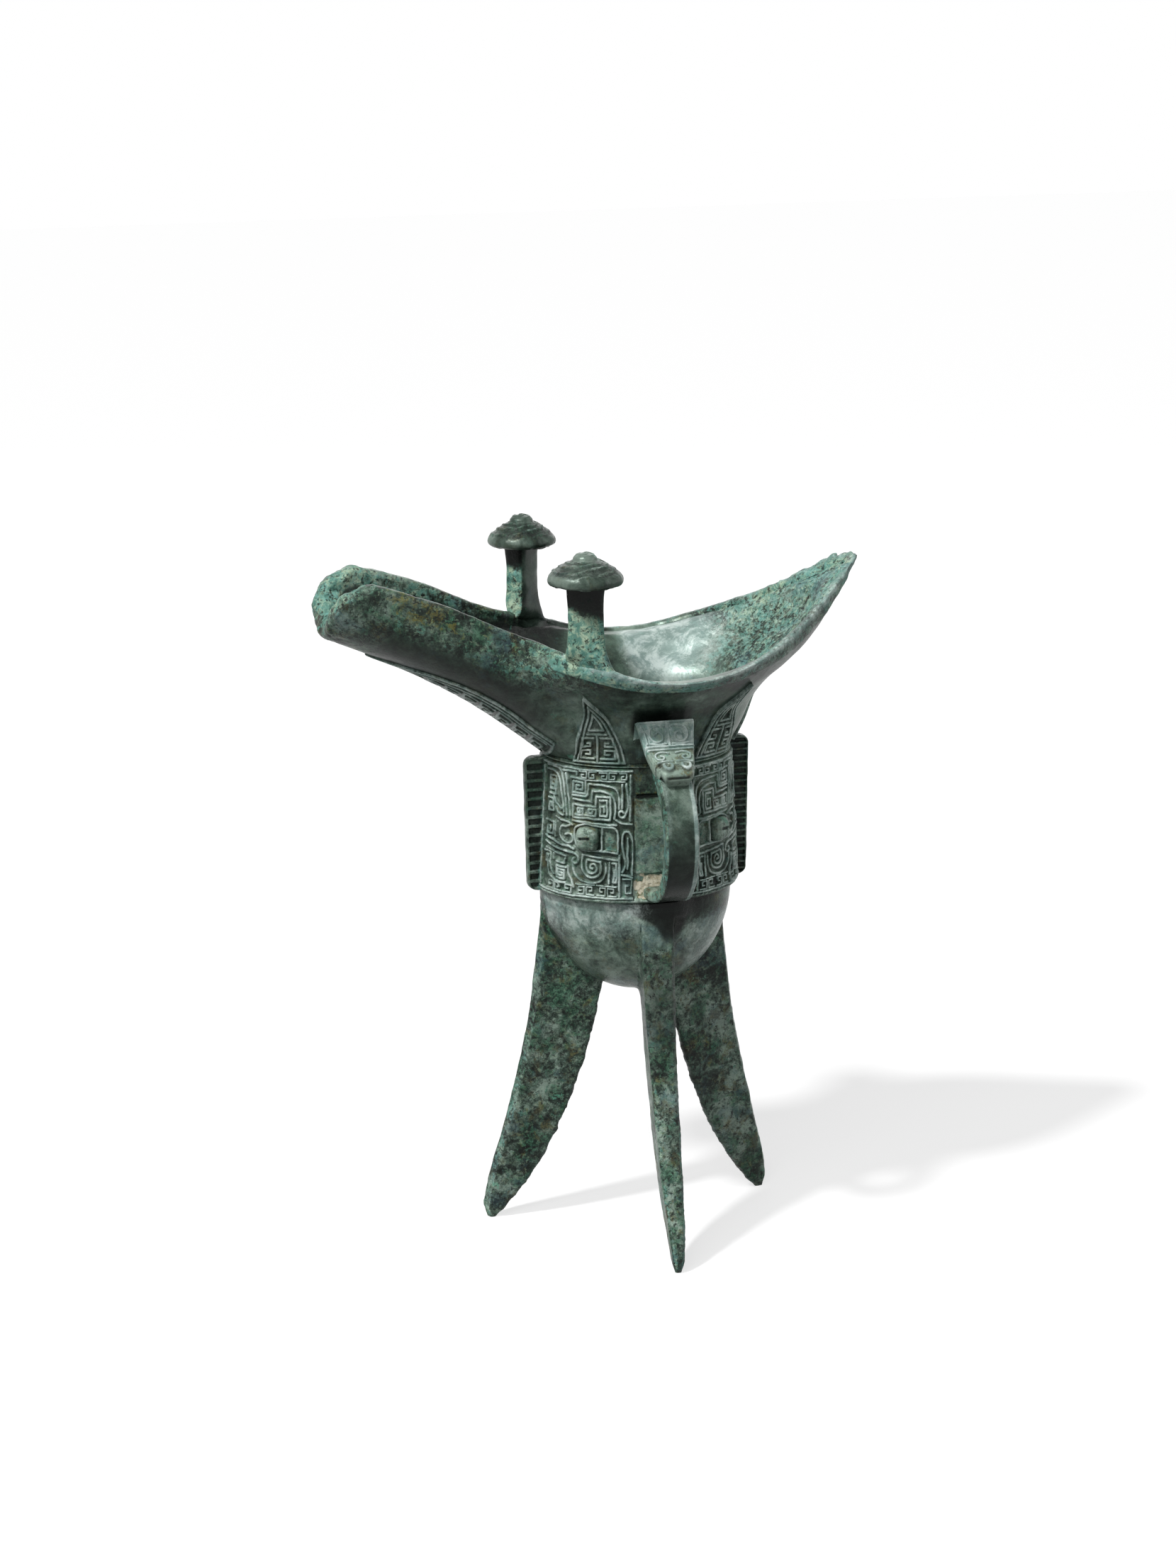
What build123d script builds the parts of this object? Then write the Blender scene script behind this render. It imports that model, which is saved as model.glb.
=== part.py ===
from build123d import *
import os
from functools import cache
from math import cos, hypot, pi, radians, sin

# Bronze jue: a three-legged pouring vessel with its spout towards -X, its tail towards +X
# and its handle towards -Y. It is drawn about the bowl's upright axis with the feet on z = 0,
# in millimetres, and moved at the end so that the origin is the middle of its footprint box.

# Heights, stacked from the floor upwards
BOWL_CLEARANCE = 69.5
BOWL_DEPTH = 30.5
BAND_HEIGHT = 39.0
BAND_FOOT_Z = BOWL_CLEARANCE + BOWL_DEPTH
BAND_TOP_Z = BAND_FOOT_Z + BAND_HEIGHT

# Oval plan of the body: half-length along X and half-width along Y, the wall's thickness and the
# step by which the band stands out over the bowl
BAND_FOOT_HALF_LENGTH = 27.7
BAND_FOOT_HALF_WIDTH = 23.2
BAND_TOP_HALF_LENGTH = 25.6
BAND_TOP_HALF_WIDTH = 22.3
WALL = 3.0
BOWL_STEP = 1.3
OVAL_STEPS = 16

# Flaring mouth: height above the band, then how far the tail end, the spout end and the
# sides stand out beyond the oval at the top of the band
MOUTH_FLARE = (
    (0.0, 0.0, 0.0, 0.0),
    (7.0, 4.0, 2.8, 0.7),
    (14.0, 7.4, 6.4, 2.8),
    (20.0, 12.0, 11.6, 9.6),
    (24.5, 16.9, 15.2, 15.8),
    (28.0, 21.2, 17.4, 17.4),
    (35.0, 28.4, 19.2, 13.8),
    (42.0, 34.0, 19.4, 7.6),
    (50.0, 39.0, 19.4, 2.0),
    (58.0, 43.0, 19.4, -2.0),
)
FLARE_WALL_FACTOR = 1.25
MOUTH_TOP_Z = BAND_TOP_Z + MOUTH_FLARE[-1][0]

# Spout trough: place along X, height of the keel above the band and half-width
SPOUT_FORM = (
    (-100.0, 40.6, 15.0),
    (-86.0, 35.2, 16.0),
    (-72.0, 29.4, 17.4),
    (-58.0, 22.4, 19.2),
    (-44.0, 14.0, 21.0),
    (-30.0, 3.2, 19.6),
    (-16.0, -9.0, 15.0),
)

# Rim line seen from the side: place along X and height above the band
SPOUT_CORNER = (-76.5, 51.9)
SPOUT_END_BULGE = (-84.9, 47.2)
SPOUT_END = (-88.3, 36.5)
RIM_LINE = (
    (-60.0, 46.4),
    (-42.0, 37.8),
    (-22.0, 30.4),
    (-6.0, 25.6),
    (8.0, 24.8),
    (30.0, 30.2),
    (50.0, 40.6),
)
TAIL_TIP = (62.2, 48.6)
SPOUT_JOIN_X = -38.0
TAIL_JOIN_X = 30.0

# Legs: direction and distance of each foot from the axis, then the shape of every leg as share
# of its height, lean from root to foot, depth towards the axis and width of the outer face
LEG_PLACES = {"leg_front": (-91.0, 44.6), "leg_left": (162.6, 44.6), "leg_right": (20.6, 45.4)}
LEG_TOP_DROP = 0.3
LEG_ROOT_INSET = 1.2
LEG_INNER_EDGE = 2.2
LEG_CORNER = 0.9
LEG_FORM = (
    (0.0, 0.99, 4.0, 2.9),
    (0.045, 1.0, 7.6, 3.9),
    (0.17, 0.83, 13.2, 5.6),
    (0.32, 0.61, 16.4, 7.0),
    (0.47, 0.41, 18.0, 7.8),
    (0.63, 0.24, 19.0, 8.6),
    (0.82, 0.11, 20.4, 9.6),
    (1.0, 0.05, 20.4, 9.8),
)

# Handle: strap outline seen from the side, as distance out from the band's side at its top and
# height above the band's foot
HANDLE_X = 0.6
HANDLE_WIDTH = 9.2
HANDLE_OUTER = (
    (-3.3, 47.2),
    (2.7, 46.2),
    (6.7, 43.8),
    (10.1, 40.8),
    (14.1, 37.6),
    (18.3, 34.0),
    (21.3, 29.4),
    (22.7, 22.5),
    (22.3, 15.5),
    (19.7, 9.5),
    (14.7, 4.6),
    (7.7, 2.0),
    (-3.3, 1.2),
)
HANDLE_INNER = (
    (-3.3, 7.2),
    (6.7, 7.8),
    (12.1, 10.0),
    (15.7, 14.0),
    (17.5, 19.5),
    (17.3, 25.0),
    (15.5, 29.4),
    (12.1, 33.0),
    (8.3, 36.2),
    (4.7, 39.0),
    (0.7, 40.8),
    (-3.3, 41.4),
)

# Animal head on the handle: its outer line from the neck to the snout and its tapering width
HEAD_OUTER = (
    (4.7, 52.2),
    (6.1, 50.6),
    (8.1, 47.6),
    (10.3, 45.0),
    (13.1, 42.9),
    (16.3, 41.6),
    (18.1, 39.6),
    (17.3, 37.2),
)
HEAD_SINK = 0.6
HEAD_SEAT = tuple((out - HEAD_SINK, height - HEAD_SINK) for out, height in HANDLE_OUTER[1:5])
HEAD_TOP_WIDTH = 16.6
HEAD_SNOUT_WIDTH = 9.8
HEAD_EYE_RADIUS = 1.8
HEAD_EYE_SPREAD = 2.65
HEAD_EYE = (15.1, 41.4)

# Posts on the rim and their caps: place along X, side, and distance out from the band's side
POST_PLACES = {"near": (-22.3, -1, 9.3), "far": (-24.1, 1, 9.1)}
POST_TURNS = {"near": -14.0, "far": 45.0}
POST_HEIGHT = 21.8
POST_ROOT_DEPTH = 3.6
POST_WAIST_RISE = 7.0
POST_WIDTH = 9.3
POST_THICKNESS = 6.0
POST_ROOT_FLARE = 3.6
POST_TOP_FLARE = 0.8
POST_CORNER = 1.4
CAP_RADII = {"near": 10.1, "far": 9.5}
CAP_HEIGHT = 8.4
CAP_EDGE_HEIGHT = 2.0
CAP_BUTTON_RADIUS = 3.2
CAP_BUTTON_HEIGHT = 1.5

# Flanges with their row of recesses
FLANGE_THICKNESS = 3.2
FLANGE_FOOT_REACH = 3.8
FLANGE_TOP_REACH = 6.6
FLANGE_CORNER = 2.4
FLANGE_SLOTS = 14
FLANGE_SLOT_SHARE = 0.6
FLANGE_SLOT_DEPTH = 0.8
FLANGE_SLOT_MARGIN = 0.9

# Raised ornament: mask panels, eyes and pointed blades
RELIEF = 0.9
PANEL_MARGIN = 1.2
BARE_PANEL_HALF_WIDTH = 7.4
EYE_ANGLE = 46.5
EYE_HEIGHT = 18.0
EYE_WIDTH = 6.2
EYE_TALL = 6.6
EYE_PROUD = 2.2
EYE_CORNER = 1.6
BLADE_RELIEF = 0.6
BLADE_AZIMUTH = 45.0
BLADE_FOOT_RISE = 1.2
BLADE_HEIGHT = 19.5
BLADE_WIDTH = 14.6
SPOUT_BLADE_WIDTH = 22.0
SPOUT_BLADE_WAIST = 20.0
SPOUT_BLADE_START = -29.0
SPOUT_BLADE_TIP = -76.0
TAIL_BLADE_WIDTH = 12.0
TAIL_BLADE_HEIGHT = 18.0

# A length that reaches past the whole vessel
FAR = 150.0


def oval_wire(tail_reach, spout_reach, half_width, z):
    """A closed oval whose two ends may reach differently far from the axis."""
    points = []
    for step in range(OVAL_STEPS):
        angle = 2 * pi * step / OVAL_STEPS
        reach = tail_reach if cos(angle) > 0 else spout_reach
        points.append((reach * cos(angle), half_width * sin(angle), z))
    parameters = [step / OVAL_STEPS for step in range(OVAL_STEPS + 1)]
    return Wire([Edge.make_spline(points, periodic=True, parameters=parameters)])


@cache
def band_hull(grow):
    """The tapering oval block of the decorated band, grown or shrunk sideways."""
    foot_length = BAND_FOOT_HALF_LENGTH + grow
    top_length = BAND_TOP_HALF_LENGTH + grow
    foot = oval_wire(foot_length, foot_length, BAND_FOOT_HALF_WIDTH + grow, BAND_FOOT_Z)
    top = oval_wire(top_length, top_length, BAND_TOP_HALF_WIDTH + grow, BAND_TOP_Z)
    return Solid.make_loft([foot, top], ruled=True)


@cache
def bowl_hull(grow):
    """The lower half of an ellipsoid below the band."""
    ball = scale(
        Sphere(1.0),
        by=(
            BAND_FOOT_HALF_LENGTH - BOWL_STEP + grow,
            BAND_FOOT_HALF_WIDTH - BOWL_STEP + grow,
            BOWL_DEPTH + grow,
        ),
    )
    lower_half = Box(FAR, FAR, FAR, align=(Align.CENTER, Align.CENTER, Align.MAX))
    return Pos(0, 0, BAND_FOOT_Z) * (ball & lower_half)


@cache
def mouth_hull(grow):
    """The flaring mouth from the band to above the rim, with its pointed tail end."""
    sections = []
    for height, tail_flare, spout_flare, side_flare in MOUTH_FLARE:
        slant_grow = grow * FLARE_WALL_FACTOR if height > 0 else grow
        sections.append(
            oval_wire(
                BAND_TOP_HALF_LENGTH + tail_flare + slant_grow,
                BAND_TOP_HALF_LENGTH + spout_flare + slant_grow,
                BAND_TOP_HALF_WIDTH + side_flare + slant_grow,
                BAND_TOP_Z + height,
            )
        )
    return Solid.make_loft(sections)


@cache
def spout_hull(grow):
    """The spout's trough as a solid bar with a round keel."""
    sections = []
    for x, keel_height, half_width in SPOUT_FORM:
        half = half_width + grow
        keel_z = BAND_TOP_Z + keel_height - grow * FLARE_WALL_FACTOR
        near_side = (x, -half, keel_z + half)
        far_side = (x, half, keel_z + half)
        near_top = (x, -half, MOUTH_TOP_Z)
        far_top = (x, half, MOUTH_TOP_Z)
        edges = [
            Edge.make_line(near_top, near_side),
            Edge.make_three_point_arc(near_side, (x, 0, keel_z), far_side),
            Edge.make_line(far_side, far_top),
            Edge.make_line(far_top, near_top),
        ]
        sections.append(Wire(edges))
    return Solid.make_loft(sections)


def side_point(point):
    """A point of the side view, given as place along X and height above the band."""
    return (point[0], 0, BAND_TOP_Z + point[1])


def below_rim():
    """The space below the rim line and above the band, seen from the side."""
    rim = [side_point(point) for point in (SPOUT_CORNER,) + RIM_LINE + (TAIL_TIP,)]
    spout_foot = (SPOUT_END[0], 0, BAND_TOP_Z)
    tail_foot = (TAIL_TIP[0], 0, BAND_TOP_Z)
    edges = [
        Edge.make_line(spout_foot, side_point(SPOUT_END)),
        Edge.make_three_point_arc(
            side_point(SPOUT_END), side_point(SPOUT_END_BULGE), side_point(SPOUT_CORNER)
        ),
        Edge.make_spline(rim),
        Edge.make_line(side_point(TAIL_TIP), tail_foot),
        Edge.make_line(tail_foot, spout_foot),
    ]
    return extrude(Face(Wire(edges)), amount=FAR, dir=(0, 1, 0), both=True)


def mouth_shell():
    """The wall of the mouth, spout and tail, open above and trimmed to the rim line."""
    room = below_rim()
    outside = (mouth_hull(0) & room) + (spout_hull(0) & room)
    return outside - mouth_hull(-WALL) - spout_hull(-WALL)


def side_of(shape, x, towards_tail):
    """The part of a shape on one side of an upright plane across the vessel."""
    kept = Keep.TOP if towards_tail else Keep.BOTTOM
    return split(shape, bisect_by=Plane(origin=(x, 0, 0), z_dir=(1, 0, 0)), keep=kept)


def rim_height_at(x):
    """Height of the rim line at a place along X, read between its nearest points."""
    line = (SPOUT_CORNER,) + RIM_LINE + (TAIL_TIP,)
    for (x0, z0), (x1, z1) in zip(line, line[1:]):
        if x0 <= x <= x1:
            return BAND_TOP_Z + z0 + (z1 - z0) * (x - x0) / (x1 - x0)
    return BAND_TOP_Z + line[-1][1]


def band_radius(angle):
    """Distance from the axis to the body wall at the foot of the band."""
    return 1 / hypot(
        cos(radians(angle)) / BAND_FOOT_HALF_LENGTH, sin(radians(angle)) / BAND_FOOT_HALF_WIDTH
    )


def leg(angle, foot_radius):
    """One wedge-shaped leg, broad in the radial direction, that seats on the bowl."""
    root_radius = band_radius(angle) - LEG_ROOT_INSET
    leg_height = BAND_FOOT_Z - LEG_TOP_DROP
    sections = []
    for share, lean, depth, width in LEG_FORM:
        outer = root_radius + (foot_radius - root_radius) * lean
        inner = outer - depth
        edge = min(LEG_INNER_EDGE, width)
        wedge = Polygon(
            (outer, -width / 2), (outer, width / 2), (inner, edge / 2), (inner, -edge / 2), align=None
        )
        wedge = fillet(wedge.vertices(), LEG_CORNER)
        sections.append((Pos(0, 0, share * leg_height) * wedge).wire())
    return Rot(0, 0, angle) * Solid.make_loft(sections) - bowl_hull(0)


def handle_point(point):
    """A point of the handle's side view, given as distance out from the band and height."""
    return (HANDLE_X, -BAND_TOP_HALF_WIDTH - point[0], BAND_FOOT_Z + point[1])


def handle_profile(outer_points, inner_points):
    """A flat face in the handle's mid plane between two smooth lines."""
    outer = [handle_point(point) for point in outer_points]
    inner = [handle_point(point) for point in inner_points]
    edges = [
        Edge.make_spline(outer),
        Edge.make_line(outer[-1], inner[0]),
        Edge.make_spline(inner),
        Edge.make_line(inner[-1], outer[0]),
    ]
    return Face(Wire(edges))


@cache
def handle_strap():
    """The plain strap of the handle, rising from the band and bending back to the neck."""
    strap = extrude(
        handle_profile(HANDLE_OUTER, HANDLE_INNER), amount=HANDLE_WIDTH / 2, dir=(1, 0, 0), both=True
    )
    return strap - band_hull(0) - mouth_hull(0)


def handle_beast_head():
    """The animal head over the top of the strap, narrowing to the snout, with two round eyes."""
    outer = [handle_point(point) for point in HEAD_OUTER]
    seat = [handle_point(point) for point in reversed(HEAD_SEAT)]
    edges = [
        Edge.make_spline(outer),
        Edge.make_line(outer[-1], seat[0]),
        Edge.make_spline(seat),
        Edge.make_line(seat[-1], outer[0]),
    ]
    head = extrude(Face(Wire(edges)), amount=HEAD_TOP_WIDTH / 2, dir=(1, 0, 0), both=True)
    top_z = BAND_FOOT_Z + HEAD_OUTER[0][1]
    snout_z = BAND_FOOT_Z + HEAD_OUTER[-1][1]
    front = Polygon(
        (HANDLE_X - HEAD_SNOUT_WIDTH / 2, snout_z),
        (HANDLE_X + HEAD_SNOUT_WIDTH / 2, snout_z),
        (HANDLE_X + HEAD_TOP_WIDTH / 2, top_z),
        (HANDLE_X - HEAD_TOP_WIDTH / 2, top_z),
        align=None,
    )
    head = head & extrude(Plane.XZ * front, amount=FAR, both=True)
    eye_x, eye_y, eye_z = handle_point(HEAD_EYE)
    for side in (-1, 1):
        head += Pos(eye_x + side * HEAD_EYE_SPREAD, eye_y, eye_z) * Sphere(HEAD_EYE_RADIUS)
    return head - handle_strap() - mouth_hull(0)


def post(x, y, turn):
    """One upright post that saddles the rim and carries a cap."""
    rim_z = rim_height_at(x)
    root = (rim_z - POST_ROOT_DEPTH, POST_ROOT_FLARE)
    waist = (rim_z + POST_WAIST_RISE, 0.0)
    top = (rim_z + POST_HEIGHT, POST_TOP_FLARE)
    sections = []
    for z, flare in (root, waist, top):
        outline = RectangleRounded(POST_WIDTH + flare, POST_THICKNESS + flare / 2, POST_CORNER)
        sections.append((Pos(x, y, z) * Rot(0, 0, turn) * outline).wire())
    return Solid.make_loft(sections)


def cap(x, y, radius):
    """The domed cap of a post, with a small button on top."""
    z = rim_height_at(x) + POST_HEIGHT
    shoulder = CAP_HEIGHT - CAP_BUTTON_HEIGHT
    outline = [
        (0, 0),
        (radius - CAP_EDGE_HEIGHT / 2, 0),
        (radius, CAP_EDGE_HEIGHT / 2),
        (radius - CAP_EDGE_HEIGHT / 4, CAP_EDGE_HEIGHT),
        (CAP_BUTTON_RADIUS, shoulder),
        (CAP_BUTTON_RADIUS, CAP_HEIGHT - CAP_BUTTON_HEIGHT / 3),
        (CAP_BUTTON_RADIUS / 2, CAP_HEIGHT),
        (0, CAP_HEIGHT),
    ]
    profile = make_face(Polyline(*[(r, 0, h) for r, h in outline], close=True))
    return Pos(x, y, z) * revolve(profile, Axis.Z)


def flange(angle, foot_half, top_half):
    """An upright fin on the band with a row of recesses in both faces."""
    foot_reach = foot_half + FLANGE_FOOT_REACH
    top_reach = top_half + FLANGE_TOP_REACH
    outline = Polygon(
        (top_half / 2, 0),
        (foot_reach, 0),
        (top_reach, BAND_HEIGHT),
        (top_half / 2, BAND_HEIGHT),
        align=None,
    )
    outer_corners = outline.vertices().sort_by(Axis.X)[-2:]
    outline = fillet(outer_corners, FLANGE_CORNER)
    fin = extrude(Plane.XZ * outline, amount=FLANGE_THICKNESS / 2, both=True)
    pitch = BAND_HEIGHT / FLANGE_SLOTS
    recesses = []
    for slot in range(FLANGE_SLOTS):
        share = (slot + 0.5) / FLANGE_SLOTS
        wall_x = foot_half + (top_half - foot_half) * share
        edge_x = foot_reach + (top_reach - foot_reach) * share
        slot_length = edge_x - wall_x - RELIEF - 2 * FLANGE_SLOT_MARGIN
        slot_x = wall_x + RELIEF + FLANGE_SLOT_MARGIN + slot_length / 2
        slot_z = (slot + 0.5) * pitch
        for side in (-1, 1):
            recess = Box(slot_length, 2 * FLANGE_SLOT_DEPTH, pitch * FLANGE_SLOT_SHARE)
            recesses.append(Pos(slot_x, side * FLANGE_THICKNESS / 2, slot_z) * recess)
    fin = fin - recesses
    return Rot(0, 0, angle) * (Pos(0, 0, BAND_FOOT_Z) * fin) - band_hull(0)


def mask_panel(x_side, y_side):
    """A raised quarter of the band that carries one half of a mask."""
    low_z = BAND_FOOT_Z + PANEL_MARGIN
    high_z = BAND_TOP_Z - PANEL_MARGIN
    inner_x = BARE_PANEL_HALF_WIDTH if y_side < 0 else FLANGE_THICKNESS / 2
    inner_y = FLANGE_THICKNESS / 2
    block = Box(FAR, FAR, high_z - low_z, align=(Align.MIN, Align.MIN, Align.MIN))
    if x_side < 0:
        block = mirror(block, Plane.YZ)
    if y_side < 0:
        block = mirror(block, Plane.XZ)
    block = Pos(x_side * inner_x, y_side * inner_y, low_z) * block
    return (band_hull(RELIEF) - band_hull(0)) & block


def mask_eye(x_side, y_side):
    """One raised eye on a mask panel."""
    turn = Rot(0, 0, y_side * 90.0 - x_side * y_side * EYE_ANGLE)
    reach = band_radius(y_side * 90.0 - x_side * y_side * EYE_ANGLE)
    outline = RectangleRounded(EYE_WIDTH, EYE_TALL, EYE_CORNER)
    boss = extrude(Plane.YZ * outline, amount=reach + RELIEF + EYE_PROUD)
    boss = turn * (Pos(0, 0, BAND_FOOT_Z + EYE_HEIGHT) * boss)
    shell = band_hull(RELIEF + EYE_PROUD) - band_hull(RELIEF)
    return boss & shell


def neck_blade(x_side, y_side):
    """A pointed leaf that rises from the band on the neck."""
    low_z = BAND_TOP_Z + BLADE_FOOT_RISE
    leaf = Polygon(
        (-BLADE_WIDTH / 2, 0), (BLADE_WIDTH / 2, 0), (0, BLADE_HEIGHT), align=None
    )
    prism = extrude(Plane.YZ * leaf, amount=FAR)
    prism = Rot(0, 0, y_side * 90.0 - x_side * y_side * BLADE_AZIMUTH) * (Pos(0, 0, low_z) * prism)
    return (mouth_hull(BLADE_RELIEF) & prism) - mouth_hull(0) - spout_hull(0)


def spout_blade():
    """The long pointed leaf with bowed sides along the underside of the spout."""
    tip = (SPOUT_BLADE_TIP, 0)
    near = (SPOUT_BLADE_START, -SPOUT_BLADE_WIDTH / 2)
    far = (SPOUT_BLADE_START, SPOUT_BLADE_WIDTH / 2)
    middle_x = (SPOUT_BLADE_START + SPOUT_BLADE_TIP) / 2
    near_side = Edge.make_three_point_arc(tip, (middle_x, -SPOUT_BLADE_WAIST / 2), near)
    far_side = Edge.make_three_point_arc(far, (middle_x, SPOUT_BLADE_WAIST / 2), tip)
    leaf = make_face([near_side, Edge.make_line(near, far), far_side])
    prism = extrude(leaf, amount=BAND_TOP_Z + SPOUT_END[1], dir=(0, 0, 1))
    return (spout_hull(BLADE_RELIEF) & prism) - spout_hull(0) - mouth_hull(0)


def tail_blade():
    """The pointed leaf that rises from the band under the tail."""
    low_z = BAND_TOP_Z + BLADE_FOOT_RISE
    leaf = Polygon(
        (-TAIL_BLADE_WIDTH / 2, 0), (TAIL_BLADE_WIDTH / 2, 0), (0, TAIL_BLADE_HEIGHT), align=None
    )
    prism = Pos(0, 0, low_z) * extrude(Plane.YZ * leaf, amount=FAR)
    return (mouth_hull(BLADE_RELIEF) & prism) - mouth_hull(0)


def build_parts():
    """Every piece by name, drawn about the bowl's axis."""
    parts = {}
    parts["bowl"] = bowl_hull(0) - bowl_hull(-WALL)
    parts["body_wall"] = band_hull(0) - band_hull(-WALL)
    shell = mouth_shell()
    parts["spout"] = side_of(shell, SPOUT_JOIN_X, False)
    middle = side_of(shell, SPOUT_JOIN_X, True)
    parts["mouth"] = side_of(middle, TAIL_JOIN_X, False)
    parts["tail"] = side_of(middle, TAIL_JOIN_X, True)
    for name, (angle, foot_radius) in LEG_PLACES.items():
        parts[name] = leg(angle, foot_radius)
    parts["handle_strap"] = handle_strap()
    parts["handle_beast_head"] = handle_beast_head()
    for name, (x, side, reach) in POST_PLACES.items():
        y = side * (BAND_TOP_HALF_WIDTH + reach)
        parts["post_" + name] = post(x, y, POST_TURNS[name]) - parts["mouth"]
        parts["cap_" + name] = cap(x, y, CAP_RADII[name])
    parts["flange_spout_side"] = flange(180.0, BAND_FOOT_HALF_LENGTH, BAND_TOP_HALF_LENGTH)
    parts["flange_tail_side"] = flange(0.0, BAND_FOOT_HALF_LENGTH, BAND_TOP_HALF_LENGTH)
    parts["flange_far_side"] = flange(90.0, BAND_FOOT_HALF_WIDTH, BAND_TOP_HALF_WIDTH)
    for y_name, y_side in (("near", -1), ("far", 1)):
        for x_name, x_side in (("left", -1), ("right", 1)):
            corner = y_name + "_" + x_name
            parts["mask_panel_" + corner] = mask_panel(x_side, y_side)
            parts["mask_eye_" + corner] = mask_eye(x_side, y_side)
            parts["neck_blade_" + corner] = neck_blade(x_side, y_side)
    parts["spout_blade"] = spout_blade()
    parts["tail_blade"] = tail_blade()
    return parts


def main():
    parts = build_parts()
    box = Compound(children=[Compound(part.solids()) for part in parts.values()]).bounding_box()
    to_origin = Pos(-box.center().X, -box.center().Y, -box.min.Z)
    os.makedirs("parts", exist_ok=True)
    for name, part in parts.items():
        export_step(to_origin * part, "parts/" + name + ".step")


main()
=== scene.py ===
import math

import bpy
import numpy as np
from mathutils import Matrix, Vector
from mathutils.bvhtree import BVHTree


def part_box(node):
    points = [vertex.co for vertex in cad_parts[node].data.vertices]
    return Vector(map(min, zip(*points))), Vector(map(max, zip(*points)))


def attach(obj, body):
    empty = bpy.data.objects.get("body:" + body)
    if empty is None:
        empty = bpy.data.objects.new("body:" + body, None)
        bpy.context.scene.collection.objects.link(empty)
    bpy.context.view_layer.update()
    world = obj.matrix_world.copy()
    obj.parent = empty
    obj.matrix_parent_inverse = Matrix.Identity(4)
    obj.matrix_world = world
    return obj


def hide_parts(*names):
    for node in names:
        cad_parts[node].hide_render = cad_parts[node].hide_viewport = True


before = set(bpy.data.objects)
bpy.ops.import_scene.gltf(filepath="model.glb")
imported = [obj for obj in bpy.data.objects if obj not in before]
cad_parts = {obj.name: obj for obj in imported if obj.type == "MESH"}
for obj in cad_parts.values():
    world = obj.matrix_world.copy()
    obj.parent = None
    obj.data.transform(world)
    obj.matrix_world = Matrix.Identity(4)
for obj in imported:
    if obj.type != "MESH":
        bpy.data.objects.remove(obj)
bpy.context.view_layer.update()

# The bowl's upright axis in the shared frame. Shapes below are in millimetres about that axis.
MM = 0.001
bowl_low, bowl_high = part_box("bowl")
AXIS = np.array([(bowl_low.x + bowl_high.x) / 2, (bowl_low.y + bowl_high.y) / 2, 0.0])

BAND_FOOT = 100.0
BAND_TOP = 139.0
BAND_TALL = BAND_TOP - BAND_FOOT
FOOT_AXES = (27.7, 23.2)
TOP_AXES = (25.6, 22.3)
WALL = 3.0
HANDLE_X = 0.6
SUNK = -0.3
FULL_TURN = 2 * math.pi
TINY = 1e-12

# What each point stores for the material: worn ridges and painted highlights, pale crust, dark recesses and
# painted shade, ochre stains, smooth metal
FIELDS = ("relief", "crust", "dark", "ochre", "smooth")


# Small helpers for meshes, smooth lines and noise
def grid_faces(rows, cols, wrap_cols=False, wrap_rows=False, flip=False):
    r = np.arange(rows if wrap_rows else rows - 1)
    c = np.arange(cols if wrap_cols else cols - 1)
    rr, cc = np.meshgrid(r, c, indexing="ij")
    r2, c2 = (rr + 1) % rows, (cc + 1) % cols
    faces = np.stack([rr * cols + cc, rr * cols + c2, r2 * cols + c2, r2 * cols + cc], -1).reshape(-1, 4)
    return faces[:, ::-1].copy() if flip else faces


def unit(vectors):
    """Vectors brought to a length of one."""
    return vectors / np.maximum(np.linalg.norm(vectors, axis=-1, keepdims=True), TINY)


def vertex_normals(points, faces):
    corner = points[faces]
    n = np.cross(corner[:, 2] - corner[:, 0], corner[:, 3] - corner[:, 1])
    out = np.zeros_like(points)
    for k in range(4):
        for axis in range(3):
            out[:, axis] += np.bincount(faces[:, k], n[:, axis], len(points))
    return unit(out)


def roughen(points, faces, move):
    """Moves each point along its normal."""
    return points + vertex_normals(points, faces) * move[:, None]


def add_object(name, data):
    thing = bpy.data.objects.new(name, data)
    bpy.context.scene.collection.objects.link(thing)
    return thing


def piece(node, points, faces, material, slot, normals=None, **fields):
    """The visible piece for one node, made of quads."""
    name = "bronze_" + node
    mesh = bpy.data.meshes.new(name)
    co = (np.asarray(points, float).reshape(-1, 3) * MM + AXIS).astype(np.float32)
    faces = np.asarray(faces, np.int32)
    mesh.vertices.add(len(co))
    mesh.vertices.foreach_set("co", co.ravel())
    mesh.loops.add(faces.size)
    mesh.loops.foreach_set("vertex_index", faces.ravel())
    mesh.polygons.add(len(faces))
    mesh.polygons.foreach_set("loop_start", np.arange(0, faces.size, 4, dtype=np.int32))
    mesh.update(calc_edges=True)
    for key in FIELDS:
        values = np.broadcast_to(np.ravel(fields.get(key, 0.0)), len(co)).astype(np.float32)
        mesh.attributes.new(key, "FLOAT", "POINT").data.foreach_set("value", values)
    mesh.shade_smooth()
    mesh.materials.append(material)
    if normals is not None:
        mesh.normals_split_custom_set_from_vertices(normals.astype(np.float32))
    thing = add_object(name, mesh)
    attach(thing, "root")
    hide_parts(node)


def split_piece(node, points, faces, normals, chosen, material, **fields):
    """The visible piece for one node that is cut out of a larger mesh and keeps its normals."""
    used, local = np.unique(faces[chosen], return_inverse=True)
    own = {key: values[used] for key, values in fields.items()}
    piece(node, points[used], local.reshape(-1, 4), material, "bronze_plain", normals[used], **own)


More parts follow.
